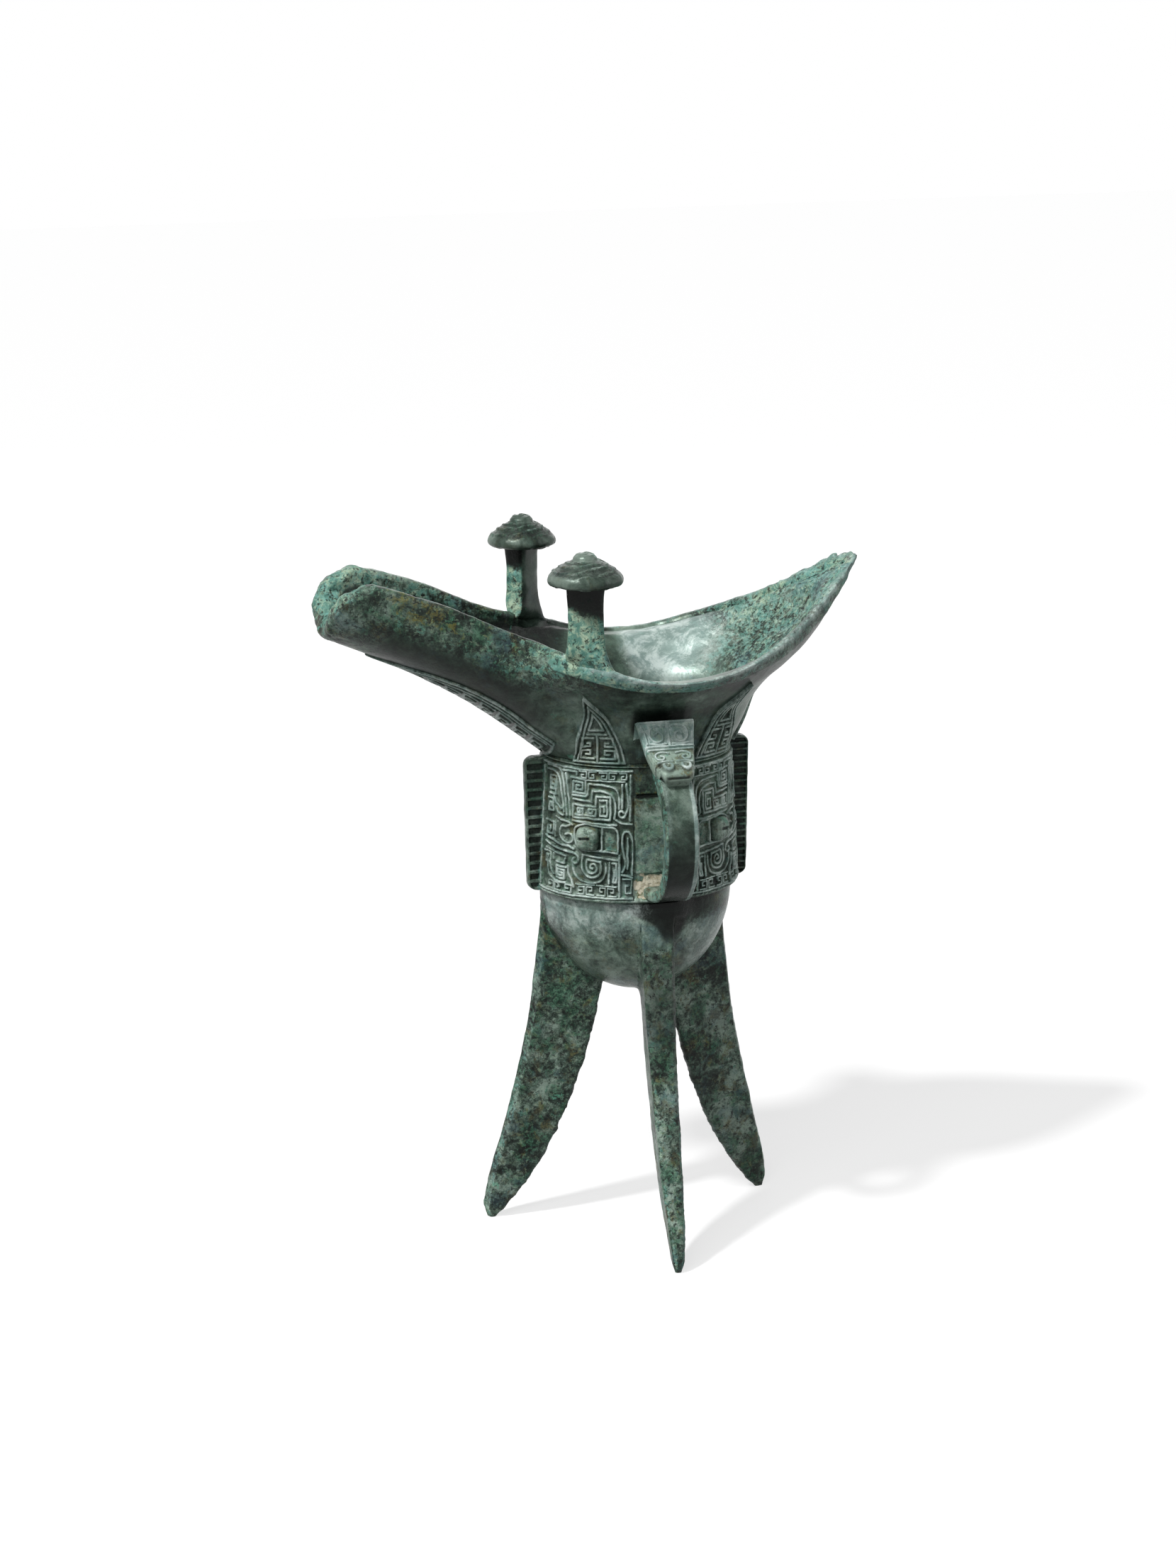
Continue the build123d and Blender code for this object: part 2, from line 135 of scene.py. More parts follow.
def smooth_line(xs, ys, x):
    """A smooth line through points, with slopes taken from their neighbours."""
    xs, ys = np.asarray(xs, float), np.asarray(ys, float)
    slope = np.gradient(ys, xs)
    x = np.clip(x, xs[0], xs[-1])
    i = np.clip(np.searchsorted(xs, x) - 1, 0, len(xs) - 2)
    w = xs[i + 1] - xs[i]
    t = (x - xs[i]) / w
    h00, h10 = 2 * t**3 - 3 * t**2 + 1, t**3 - 2 * t**2 + t
    h01, h11 = -2 * t**3 + 3 * t**2, t**3 - t**2
    return h00 * ys[i] + h10 * w * slope[i] + h01 * ys[i + 1] + h11 * w * slope[i + 1]


def running_length(line):
    """Length along a line of points, up to each of them."""
    return np.concatenate([[0], np.cumsum(np.linalg.norm(np.diff(line, axis=0), axis=1))])


def smooth_path(points, count):
    """Evenly spaced points on a smooth line through points of any dimension."""
    points = np.asarray(points, float)
    s = running_length(points)
    fine = np.linspace(0, s[-1], max(count * 4, 400))
    path = np.stack([smooth_line(s, column, fine) for column in points.T], 1)
    length = running_length(path)
    even = np.linspace(0, length[-1], count)
    return np.stack([np.interp(even, length, column) for column in path.T], 1)


def ramp(low, high, x):
    t = np.clip((x - low) / (high - low), 0, 1)
    return t * t * (3 - 2 * t)


def between(start, full, fall, end, x):
    """Rises from start to full and goes down again from fall to end."""
    return ramp(start, full, x) * ramp(end, fall, x)


def bump_at(middle, width, x):
    return np.exp(-(((x - middle) / width) ** 2))


def rounded_square(turn, power):
    """Cosine and sine of a circle that is pushed out towards a square."""
    return [np.sign(wave) * np.abs(wave) ** power for wave in (np.cos(turn), np.sin(turn))]


def lattice(i, j, k, seed):
    """A fixed value from -1 to 1 for each corner of a lattice."""
    h = (i * 73856093) ^ (j * 19349663) ^ (k * 83492791) ^ (seed * 40503457)
    h = (h & 0xFFFFFFFF).astype(np.uint64)
    h = ((h ^ (h >> np.uint64(15))) * np.uint64(2246822519)) & np.uint64(0xFFFFFFFF)
    h = ((h ^ (h >> np.uint64(13))) * np.uint64(3266489917)) & np.uint64(0xFFFFFFFF)
    return ((h ^ (h >> np.uint64(16))) & np.uint64(0xFFFF)).astype(float) / 32767.5 - 1


def noise(points, size, seed, octaves):
    """Smooth noise, about from -1 to 1, whose lumps are about that many millimetres wide."""
    total, weight, out = 0.0, 1.0, 0.0
    for octave in range(octaves):
        p = np.asarray(points, float) / size * 2**octave + 31.7 * octave
        base = np.floor(p).astype(np.int64)
        f = p - base
        f = f * f * (3 - 2 * f)
        sides = (1 - f, f)
        value = 0.0
        for dx, dy, dz in np.ndindex(2, 2, 2):
            w = sides[dx][..., 0] * sides[dy][..., 1] * sides[dz][..., 2]
            corner = lattice(base[..., 0] + dx, base[..., 1] + dy, base[..., 2] + dz, seed + octave)
            value = value + w * corner
        out = out + weight * value
        total += weight
        weight *= 0.5
    return out / total * 1.6


# Bronze: a dark smooth metal under grey-green and blue-green patina, with pale crust, dark recesses
# and painted shade, and worn pale ridges and painted highlights, that follow what each piece stores in its
# points
TONES = (
    (0.2, (25, 32, 28)), (0.37, (49, 60, 54)), (0.5, (77, 92, 83)), (0.63, (107, 123, 113)),
    (0.8, (146, 161, 151)),
)
GREEN_DEEP, GREEN_PALE = (38, 70, 56), (86, 126, 104)
BROWN, OLIVE, OCHRE = (72, 64, 46), (116, 112, 76), (116, 110, 62)
CLAY_DEEP, CLAY_PALE = (184, 174, 152), (222, 214, 198)
CRUST_BLUE, CRUST_LIME, CRUST_DEEP = (130, 173, 165), (174, 191, 170), (98, 138, 128)
TURQUOISE, SLATE_BLUE = (104, 164, 142), (88, 112, 122)
PIT, GRAIN, RECESS_AND_SHADE = (30, 38, 35), (150, 170, 148), (20, 25, 23)
WORN_AND_HIGHLIGHT_DEEP, WORN_AND_HIGHLIGHT_PALE = (136, 153, 149), (190, 200, 197)
SMOOTH_CLEARS = 0.85
DEEPER = 1.28
SPECULAR = 0.16
GRAIN_DEPTH = 0.0005


def srgb(colour):
    """A screen colour from 0 to 255 as linear light."""
    c = np.array(colour) / 255
    linear = np.where(c <= 0.04045, c / 12.92, ((c + 0.055) / 1.055) ** 2.4)
    return (*linear.tolist(), 1.0)


class Tree:
    """Nodes of a material or world, written as sums, products and mixes."""

    def __init__(self, owner):
        owner.use_nodes = True
        self.tree = owner.node_tree
        self.tree.nodes.clear()

    def node(self, kind, settings=(), **inputs):
        made = self.tree.nodes.new(kind)
        for key, value in settings:
            setattr(made, key, value)
        for key, value in inputs.items():
            socket = made.inputs[int(key[1:]) if key[1:].isdigit() else key.replace("_", " ")]
            if isinstance(value, bpy.types.NodeSocket):
                self.tree.links.new(value, socket)
            else:
                socket.default_value = value
        return made

    def noise(self, place, scale, detail, rough, distort=0.0, shift=0.0):
        offset = (shift, shift * 0.7, -shift)
        moved = self.node("ShaderNodeVectorMath", [("operation", "ADD")], i0=place, i1=offset)
        settings = {"Scale": scale, "Detail": detail, "Roughness": rough, "Distortion": distort}
        return self.node("ShaderNodeTexNoise", Vector=moved.outputs[0], **settings).outputs["Fac"]

    def math(self, operation, a, b, clamp=False):
        made = self.node("ShaderNodeMath", [("operation", operation), ("use_clamp", clamp)], i0=a, i1=b)
        return made.outputs[0]

    def times(self, value, *others):
        for other in others:
            value = self.math("MULTIPLY", value, other)
        return value

    def plus(self, value, *others):
        for other in others:
            value = self.math("ADD", value, other)
        return value

    def rest(self, value):
        return self.math("SUBTRACT", 1.0, value)

    def steps(self, value, low, high):
        smooth = [("interpolation_type", "SMOOTHSTEP")]
        return self.node("ShaderNodeMapRange", smooth, i0=value, i1=low, i2=high, i3=0.0, i4=1.0).outputs[0]

    def mix(self, factor, a, b):
        a, b = [srgb(c) if isinstance(c, tuple) else c for c in (a, b)]
        return self.node("ShaderNodeMix", [("data_type", "RGBA")], i0=factor, i6=a, i7=b).outputs[2]

    def gather(self, start, *pairs):
        """A start value plus weighted fields, each counted from its middle."""
        for field, weight in pairs:
            start = self.plus(start, self.times(self.math("SUBTRACT", field, 0.5), weight))
        return start

    def attribute(self, name):
        return self.node("ShaderNodeAttribute", [("attribute_name", name)]).outputs["Fac"]


def bronze(name, ridge, grain, green, speckle, tone, metal=0.15, gloss=0.34, lively=1.0):
    material = bpy.data.materials.new(name)
    t = Tree(material)
    place = t.node("ShaderNodeTexCoord").outputs["Object"]
    relief, crust, dark, ochre, smooth = [t.attribute(field) for field in FIELDS]
    rough_part = t.rest(t.times(smooth, SMOOTH_CLEARS))

    broad = t.noise(place, 45.0, 4.0, 0.55, 0.3)
    patch = t.noise(place, 165.0, 9.0, 0.72, 0.5, 0.31)
    spot = t.noise(place, 380.0, 7.0, 0.7, 0.8, 0.57)
    fine = t.noise(place, 950.0, 4.0, 0.75, 0.2, 0.83)
    grit = t.noise(place, 2600.0, 2.0, 0.6, 0.0, 0.11)

    # Dark slate to pale grey-green metal
    changes = t.gather(0.0, (patch, 0.9), (spot, 0.55), (fine, 0.6))
    tone_field = t.gather(0.5 + tone, (broad, 1.3), (patch, 0.5))
    tone_field = t.plus(tone_field, t.times(changes, lively, rough_part))
    colours = t.node("ShaderNodeValToRGB", Fac=tone_field)
    stops = colours.color_ramp.elements
    for stop, (position, colour) in zip(stops, (TONES[0], TONES[-1])):
        stop.position, stop.color = position, srgb(colour)
    for position, colour in TONES[1:-1]:
        stops.new(position).color = srgb(colour)
    colour = colours.outputs["Color"]

    # Green, brown and ochre patches
    green_field = t.gather(t.noise(place, 125.0, 8.0, 0.7, 0.6, 1.7), (spot, 0.6), (fine, 0.3))
    green_on = t.times(t.steps(green_field, 0.47, 0.6), green, rough_part)
    colour = t.mix(green_on, colour, t.mix(t.steps(fine, 0.4, 0.62), GREEN_DEEP, GREEN_PALE))
    brown_field = t.gather(t.noise(place, 155.0, 8.0, 0.7, 0.5, 2.9), (fine, 0.35))
    brown_on = t.times(t.steps(brown_field, 0.53, 0.64), 0.7, rough_part)
    colour = t.mix(brown_on, colour, t.mix(t.steps(spot, 0.44, 0.58), BROWN, OLIVE))
    ochre_field = t.gather(t.noise(place, 260.0, 9.0, 0.74, 0.6, 4.3), (ochre, 0.3), (fine, 0.5))
    ochre_on = t.times(t.steps(ochre_field, 0.5, 0.66), t.steps(ochre, 0.02, 0.4), 0.8)
    clay = t.mix(t.steps(fine, 0.38, 0.6), CLAY_DEEP, CLAY_PALE)
    colour = t.mix(ochre_on, colour, t.mix(t.steps(ochre, 0.7, 1.0), OCHRE, clay))

    # Pale blue-green and yellow-green crust, with a few brighter turquoise spots
    crust_noise = t.noise(place, 200.0, 9.0, 0.74, 0.7, 5.1)
    crust_on = t.steps(t.gather(0.5, (crust_noise, 0.7), (spot, 0.5), (fine, 0.5), (crust, 0.42)), 0.49, 0.6)
    lime_spots = t.noise(place, 520.0, 4.0, 0.7, 0.3, 6.1)
    lime_field = t.gather(t.noise(place, 90.0, 6.0, 0.65, 0.4, 6.7), (lime_spots, 0.9))
    lime = t.steps(t.plus(lime_field, t.times(ochre, 0.35)), 0.42, 0.6)
    crust_colour = t.mix(t.steps(spot, 0.4, 0.6), t.mix(lime, CRUST_BLUE, CRUST_LIME), CRUST_DEEP)
    colour = t.mix(t.times(crust_on, 0.85), colour, crust_colour)
    bright = t.steps(t.gather(t.noise(place, 115.0, 6.0, 0.6, 0.3, 9.1), (fine, 0.35)), 0.66, 0.71)
    colour = t.mix(t.times(bright, 0.75 * green), colour, TURQUOISE)
    blue_on = t.steps(t.gather(t.noise(place, 70.0, 6.0, 0.65, 0.4, 11.3), (spot, 0.4)), 0.54, 0.66)
    colour = t.mix(t.times(blue_on, 0.35), colour, SLATE_BLUE)

    # Dark pits and pale grains
    pit_field = t.noise(place, 720.0, 5.0, 0.72, 0.3, 7.7)
    pits = t.times(t.steps(pit_field, 0.54, 0.61), t.steps(broad, 0.24, 0.48), rough_part)
    colour = t.mix(t.times(pits, speckle), colour, PIT)
    grains = t.times(t.steps(t.noise(place, 640.0, 5.0, 0.72, 0.3, 8.3), 0.57, 0.64), rough_part)
    colour = t.mix(t.times(grains, 0.5 * speckle), colour, GRAIN)

    # Dark recesses and painted shade, and worn ridges with painted highlights
    colour = t.mix(t.math("MULTIPLY", dark, 0.9, True), colour, RECESS_AND_SHADE)
    uneven = t.times(t.gather(0.0, (fine, 1.1), (spot, 0.3)), rough_part)
    worn_and_highlit = t.steps(t.plus(relief, uneven), 0.42, 0.95)
    worn_and_highlight_colour = t.mix(t.steps(patch, 0.42, 0.6), WORN_AND_HIGHLIGHT_DEEP, WORN_AND_HIGHLIGHT_PALE)
    colour = t.mix(t.times(worn_and_highlit, ridge), colour, worn_and_highlight_colour)
    colour = t.node("ShaderNodeGamma", Color=colour, Gamma=DEEPER).outputs[0]

    # Gloss of the bare metal, and the grain of the surface
    rough = t.plus(t.times(crust_on, 0.26), t.times(green_on, 0.12), gloss)
    rough = t.gather(rough, (fine, 0.3), (smooth, -0.04))
    shine = t.times(t.rest(crust_on), t.rest(green_on), metal)
    height = t.plus(t.times(fine, 0.7), t.times(grit, 0.35), t.times(crust_on, 0.35), t.times(pits, -0.5))
    height = t.times(height, rough_part)
    bump = t.node("ShaderNodeBump", Strength=0.55 * grain, Distance=GRAIN_DEPTH, Height=height)
    finish = {"Base_Color": colour, "Metallic": shine, "Roughness": rough, "Normal": bump.outputs[0]}
    shader = t.node("ShaderNodeBsdfPrincipled", Specular_IOR_Level=SPECULAR, **finish)
    t.node("ShaderNodeOutputMaterial", Surface=shader.outputs[0])
    return material


MAT_PLAIN = bronze(
    "bronze_smooth", ridge=0.7, grain=0.6, green=0.35, speckle=0.4, tone=0.1, metal=0.22, gloss=0.28,
)
MAT_MOUTH = bronze("bronze_mouth", ridge=0.8, grain=0.8, green=0.6, speckle=0.8, tone=0.02, metal=0.14)
MAT_LEG = bronze("bronze_leg", ridge=0.4, grain=1.2, green=0.75, speckle=0.75, tone=0.11, lively=1.6)
MAT_RELIEF = bronze("bronze_relief", ridge=0.7, grain=0.8, green=0.6, speckle=0.4, tone=0.16)
MAT_HEAD = bronze("bronze_head", ridge=0.95, grain=0.8, green=0.1, speckle=0.3, tone=0.5)


# Body wall: the upright oval of the band with its borders and the bare panel behind the handle
def band_axes(v):
    return [foot + (top - foot) * v / BAND_TALL for foot, top in zip(FOOT_AXES, TOP_AXES)]


def band_point(t, v, out):
    """A point of the band at oval parameter t and height v, standing out from the wall."""
    a, b = band_axes(v)
    nx, ny = np.cos(t) / a, np.sin(t) / b
    size = np.hypot(nx, ny)
    x, y = a * np.cos(t) + out * nx / size, b * np.sin(t) + out * ny / size
    return np.stack([x, y, BAND_FOOT + v + 0 * t], -1)


# Length along a quarter of the band at half its height, a little outside its wall
ARC_OUT = 0.9
ARC_T = np.linspace(math.pi, 1.5 * math.pi, 2000)
arc_a, arc_b = [axis + ARC_OUT for axis in band_axes(BAND_TALL / 2)]
ARC_S = running_length(np.stack([arc_a * np.cos(ARC_T), arc_b * np.sin(ARC_T)], 1))
QUARTER = ARC_S[-1]


def body_wall():
    cols = 1000
    heights = [np.linspace(0, 1.6, 12), np.linspace(1.7, 37.2, 220), np.linspace(37.3, BAND_TALL, 14)]
    turn = np.linspace(0, FULL_TURN, cols, endpoint=False)
    vv, tt = np.meshgrid(np.concatenate(heights), turn, indexing="ij")
    border = 0.75 * bump_at(0.85, 0.62, vv) + 0.8 * bump_at(38.35, 0.36, vv) - 0.35 * ramp(0.5, 0.0, vv)
    x = band_point(tt, vv, 0)[..., 0]
    behind = (np.sin(tt) < 0) & (np.abs(x) < 8)
    plate = ramp(6.9, 6.4, np.abs(x)) * between(8.2, 8.8, 29.1, 29.6, vv) * behind
    slit = ramp(6.4, 5.6, np.abs(x)) * between(29.2, 29.6, 30.2, 30.9, vv) * behind
    # The top of the bare panel has an ochre stain with painted shadow from the head over it
    upper = ramp(30.0, 31.0, vv) * behind
    points = band_point(tt, vv, border + 0.45 * plate - 0.7 * slit)
    points += 0.12 * noise(points, 5.0, 3, 2)[..., None] * np.stack([np.cos(tt), np.sin(tt), 0 * tt], -1)
    # Pale clay at the foot of the bare panel
    spread = 1 - ((x + 2.0) / 6.0) ** 2 - ((vv - 5.0) / 3.6) ** 2
    clay = ramp(0.0, 0.45, spread + 0.7 * noise(points, 2.6, 13, 3)) * behind
    inner = band_point(tt, vv, -WALL)[::-1]

    def both(outside, inside):
        return np.concatenate([outside.ravel(), np.full(outside.size, inside)])

    faces = grid_faces(2 * len(vv), cols, wrap_cols=True, wrap_rows=True)
    piece(
        "body_wall", np.concatenate([points, inner]), faces, MAT_RELIEF, "bronze_plain",
        relief=both(0.8 * np.clip(border, 0, 1) + 0.25 * plate, 0.0),
        crust=both(0.3 * plate - 1.4 * clay - 0.2 * upper, 0.2),
        # Dark: the slit, the painted shadow at the top of the bare panel and painted shade at the band's foot
        dark=both(0.9 * slit + 0.35 * upper + 0.5 * ramp(0.35, 0.0, vv), 0.2),
        ochre=both(1.3 * clay + 0.45 * upper + 0.2 * plate, 0.0),
    )


# Mouth, spout and tail: one flaring wall with a rounded lip.
# FLARE: height above the band, and how far the wall stands out at the tail, the spout and the sides.
# SPOUT: x, height of the trough's bottom above the band, and half its width. RIM: x and height of the rim.
FLARE = np.array([
    (0.0, 0.0, 0.0, 0.0), (7.0, 4.0, 2.8, 0.7), (14.0, 7.4, 6.4, 2.8), (20.0, 12.0, 11.6, 9.6),
    (24.5, 16.9, 15.2, 15.8), (28.0, 21.2, 17.4, 17.4), (35.0, 28.4, 19.2, 13.8), (42.0, 33.4, 19.4, 7.6),
    (50.0, 37.6, 19.4, 2.0), (58.0, 41.0, 19.4, -2.0),
])
SPOUT = np.array([
    (-100.0, 40.6, 15.0), (-86.0, 35.2, 16.0), (-72.0, 29.4, 17.4), (-58.0, 22.4, 19.2), (-44.0, 14.0, 21.0),
    (-30.0, 3.2, 19.6), (-16.0, -9.0, 15.0),
])
RIM = np.array([
    (-76.5, 51.9), (-60.0, 46.4), (-42.0, 37.8), (-22.0, 30.4), (-6.0, 25.6), (8.0, 24.8), (30.0, 30.2),
    (50.0, 40.6), (62.2, 49.6),
])
FRONT = ((-86.4, 36.0), (-83.0, 46.4), (-75.0, 50.6))
TAIL_END = 62.8
BLEND = 12.0
RIM_SOFT = 0.7
MOUTH_COLS = 900
MOUTH_ROWS = 150
RIM_SAMPLES = 2400
WALL_SAMPLES = 260
LIP_ROWS = 9
LIP_RISE = 2.2
LOWEST_RIM, HIGHEST_RIM = 2.0, 57.5
FAR_OUT = 120.0
SPOUT_SPLIT, TAIL_SPLIT = -38.0, 30.0
# Middle of the painted highlight inside the cup
CUP_HIGHLIGHT = np.array([15.0, 29.0, 165.0])


def circle_through(p, q, r):
    """Middle and radius of the circle through three points."""
    ax, ay = p
    bx, by = q
    cx, cy = r
    d = 2 * (ax * (by - cy) + bx * (cy - ay) + cx * (ay - by))
    ux = ((ax**2 + ay**2) * (by - cy) + (bx**2 + by**2) * (cy - ay) + (cx**2 + cy**2) * (ay - by)) / d
    uy = ((ax**2 + ay**2) * (cx - bx) + (bx**2 + by**2) * (ax - cx) + (cx**2 + cy**2) * (bx - ax)) / d
    return ux, uy, math.hypot(ax - ux, ay - uy)


FRONT_X, FRONT_H, FRONT_R = circle_through(*FRONT)


def rim_height(x):
    line = smooth_line(RIM[:, 0], RIM[:, 1], x) - 1.3 * ramp(-48.0, -72.0, x)
    return line + np.maximum(x - RIM[-1, 0], 0) * 0.66 + np.maximum(RIM[0, 0] - x, 0) * 0.3


def front_x(h):
    reach = np.sqrt(np.maximum(FRONT_R**2 - (np.maximum(h, FRONT[0][1]) - FRONT_H) ** 2, 0.0))
    return FRONT_X - reach


def farthest(low, high, rounds, is_inside):
    """Halves the span again and again to find how far each line stays inside."""
    for _ in range(rounds):
        mid = (low + high) / 2
        inside = is_inside(mid)
        low, high = np.where(inside, mid, low), np.where(inside, high, mid)
    return low


def tongue_reach(c, s, h):
    """How far the spout's trough reaches from the axis along a direction, at height h."""
    def in_trough(mid):
        x, y = -mid * c, mid * np.abs(s)
        half = smooth_line(SPOUT[:, 0], SPOUT[:, 2], x)
        depth = h - smooth_line(SPOUT[:, 0], SPOUT[:, 1], x)
        width = np.sqrt(np.maximum(half**2 - np.maximum(half - depth, 0) ** 2, 0)) * (depth > 0)
        return (y <= width) & (x > SPOUT[0, 0])

    return farthest(np.zeros_like(c), np.full_like(c, FAR_OUT), 26, in_trough)


def mouth_radius(phi, h):
    """Distance from the axis to the outside of the mouth at a direction and height above the band."""
    c, s = np.cos(phi), np.sin(phi)
    tail, spout, side = [
        axis + smooth_line(FLARE[:, 0], FLARE[:, k], h) for k, axis in enumerate((TOP_AXES[0], *TOP_AXES), 1)
    ]
    oval = 1 / np.hypot(c / np.where(c > 0, tail, spout), s / side)
    tongue = tongue_reach(np.maximum(-c, 0.0), s, h) * ramp(0.0, 0.25, -c)
    k = 1e-3 + BLEND * ramp(1.0, 12.0, h)
    near = np.maximum(k - np.abs(oval - tongue), 0) / k
    return np.maximum(oval, tongue) + near**2 * k / 4


def rim_end(phi):
    """Height above the band at which the wall meets the rim, the spout's front or the tail's end."""
    def on_wall(mid):
        reach = mouth_radius(phi, mid)
        x, y = reach * np.cos(phi), reach * np.sin(phi)
        before_tail_end = x < TAIL_END - 0.07 * np.minimum(y**2, 40.0)
        return (mid < rim_height(x)) & (x > front_x(mid)) & before_tail_end

    return farthest(np.full_like(phi, LOWEST_RIM), np.full_like(phi, HIGHEST_RIM), 22, on_wall)


def grid_normals(p):
    return unit(np.cross(np.roll(p, -1, 1) - np.roll(p, 1, 1), np.gradient(p, axis=0)))


def mouth_grid(cols, rows):
    """Evenly spaced points on the outside of the mouth, and the length up the wall to each."""
    phi = np.linspace(0, FULL_TURN, RIM_SAMPLES, endpoint=False)
    end = rim_end(phi)
    reach = mouth_radius(phi, end)
    rim = np.stack([reach * np.cos(phi), reach * np.sin(phi), end], 1)
    length = running_length(np.vstack([rim, rim[:1]]))
    pick = np.interp(np.linspace(0, length[-1], cols, endpoint=False), length, np.append(phi, FULL_TURN))
    end = rim_end(pick)
    hh = np.linspace(0, 1, WALL_SAMPLES)[:, None] * end[None]
    pp = np.broadcast_to(pick[None], hh.shape)
    reach = mouth_radius(pp, hh)
    p = np.stack([reach * np.cos(pp), reach * np.sin(pp), hh + BAND_TOP], -1)
    step = np.linalg.norm(np.diff(p, axis=0), axis=-1)
    s = np.concatenate([np.zeros((1, cols)), np.cumsum(step, 0)])
    even = np.linspace(0, 1, rows)
    out = np.empty((rows, cols, 3))
    for j, k in np.ndindex(cols, 3):
        out[:, j, k] = np.interp(even * s[-1, j], s[:, j], p[:, j, k])
    return out, even[:, None] * s[-1][None]


def mouth_pieces():
    """Makes the mouth, the spout and the tail, and returns their skin for what is set on it."""
    outer, along = mouth_grid(MOUTH_COLS, MOUTH_ROWS)
    from_rim = along[-1][None] - along
    x = outer[..., 0]
    lip = ramp(-34.0, -18.0, x)
    under = 1.3 * lip * between(3.9, 4.7, 6.0, 18.0, from_rim)
    outer = outer - grid_normals(outer) * under[..., None]
    thick = WALL + 3.4 * ramp(-58.0, -84.0, x) + 1.6 * ramp(46.0, 60.0, x)
    thick -= 0.4 * lip * ramp(8.0, 0.0, from_rim)
    inner = outer - grid_normals(outer) * thick[..., None]
    # The inside wall ends on the rim's plane
    level = BAND_TOP + rim_height(inner[..., 0])
    mixed = np.clip(0.5 + 0.5 * (level - inner[..., 2]) / RIM_SOFT, 0, 1)
    inner[..., 2] = level + (inner[..., 2] - level) * mixed - RIM_SOFT * mixed * (1 - mixed)
    # Rounded lip from the outside to the inside
    middle, half = (outer[-1] + inner[-1]) / 2, (outer[-1] - inner[-1]) / 2
    width = np.linalg.norm(half, axis=1, keepdims=True)
    rise = unit(outer[-1] - outer[-2]) * np.minimum(width, LIP_RISE) * 0.9
    lips = []
    for turn in np.linspace(0, math.pi, LIP_ROWS + 2)[1:-1]:
        across = np.sign(math.cos(turn)) * abs(math.cos(turn)) ** 0.7
        lips.append(middle + half * across + rise * math.sin(turn) ** 0.8)
    sheet = np.concatenate([outer, lips, inner[::-1]])
    edge = np.concatenate([from_rim, np.zeros((len(lips), MOUTH_COLS)), from_rim[::-1]]).ravel()
    share = np.concatenate([np.zeros(MOUTH_ROWS), np.linspace(0, 1, len(lips)), np.ones(MOUTH_ROWS)])
    inside = np.repeat(share, MOUTH_COLS)
    outside = 1 - inside
    faces = grid_faces(len(sheet), MOUTH_COLS, wrap_cols=True, wrap_rows=True)
    points = sheet.reshape(-1, 3)
    x = points[:, 0]
    ends = np.maximum(ramp(35.0, 60.0, x), ramp(-60.0, -84.0, x))
    ragged = np.exp(-edge / 2.5) * (0.12 + 0.45 * ends)
    points = roughen(points, faces, ragged * noise(points, 2.6, 11, 3) + 0.1 * noise(points, 7.0, 5, 2))
    normal = vertex_normals(points, faces)

    on_lip = outside * ramp(4.6, 4.0, edge) * ramp(-34.0, -20.0, x)
    # Painted shade on the wall just under the lip
    shade_under_lip = outside * between(4.2, 4.9, 6.0, 14.0, edge) * ramp(-30.0, -12.0, x)
    crust = 0.1 + inside * (0.14 + 0.4 * ramp(10.0, 40.0, x) + 0.36 * ramp(-25.0, -60.0, x))
    crust += 0.3 * np.exp(-edge / 4.0) * ends
    crust += 0.4 * outside * between(-48.0, -32.0, -24.0, -8.0, x) * ramp(14.0, 3.0, edge)
    crust += 0.3 * outside * between(3.0, 7.0, 9.0, 17.0, edge) * between(-80.0, -68.0, -34.0, -24.0, x)
    crust += on_lip * (0.34 + 0.5 * ramp(24.0, 0.0, x))
    dark = 0.6 * shade_under_lip + 0.12 * on_lip * ramp(0.0, 20.0, x)
    # The outside of the spout is darker: partly its dark patina, partly painted shade that deepens where the
    # wall faces down
    facing_down = np.clip(-normal[:, 2], 0, 1)
    dark += outside * (0.5 + 0.3 * facing_down) * ramp(-20.0, -38.0, x) * ramp(6.0, 19.0, edge)
    # Painted shadow inside the spout
    dark += 0.9 * inside * ramp(-8.0, -17.0, x) * ramp(1.0, 3.0, edge - 1.6 * ramp(-40.0, -66.0, x))
    # Painted shade on the neck in the slot behind the head's plate
    shade_behind_head = outside * ramp(9.5, 7.5, np.abs(x - HANDLE_X)) * (points[:, 1] < 0)
    dark += 0.9 * shade_behind_head * between(146.0, 149.0, 153.0, 157.0, points[:, 2])
    ochre = 0.5 * outside * ramp(9.0, 3.0, edge) * between(-76.0, -68.0, -58.0, -50.0, x)
    ochre += 0.2 * outside * ramp(20.0, 8.0, edge) * ramp(-30.0, -45.0, x)
    smooth = 0.8 * outside * ramp(5.0, 12.0, edge - 5.0 * ramp(-14.0, -30.0, x))
    smooth += inside * between(-30.0, -10.0, 18.0, 44.0, x)
    pale = inside * ramp(-8.0, 10.0, x) * ramp(0.5, 2.5, edge)
    # The inside of the cup is made paler, with a painted highlight around CUP_HIGHLIGHT
    glow = np.exp(-(((points - CUP_HIGHLIGHT) / 13.0) ** 2).sum(1))
    relief = 0.4 * np.exp(-edge / 0.8) + 0.5 * on_lip + pale * (0.52 + 0.9 * glow)
    fields = {"relief": relief, "crust": crust, "dark": np.clip(dark, 0, 1), "ochre": ochre, "smooth": smooth}
    part = np.digitize(points[faces, 0].mean(1), (SPOUT_SPLIT, TAIL_SPLIT))
    for k, node in enumerate(("spout", "mouth", "tail")):
        split_piece(node, points, faces, normal, part == k, MAT_MOUTH, **fields)
    return BVHTree.FromPolygons(points.tolist(), faces.tolist())


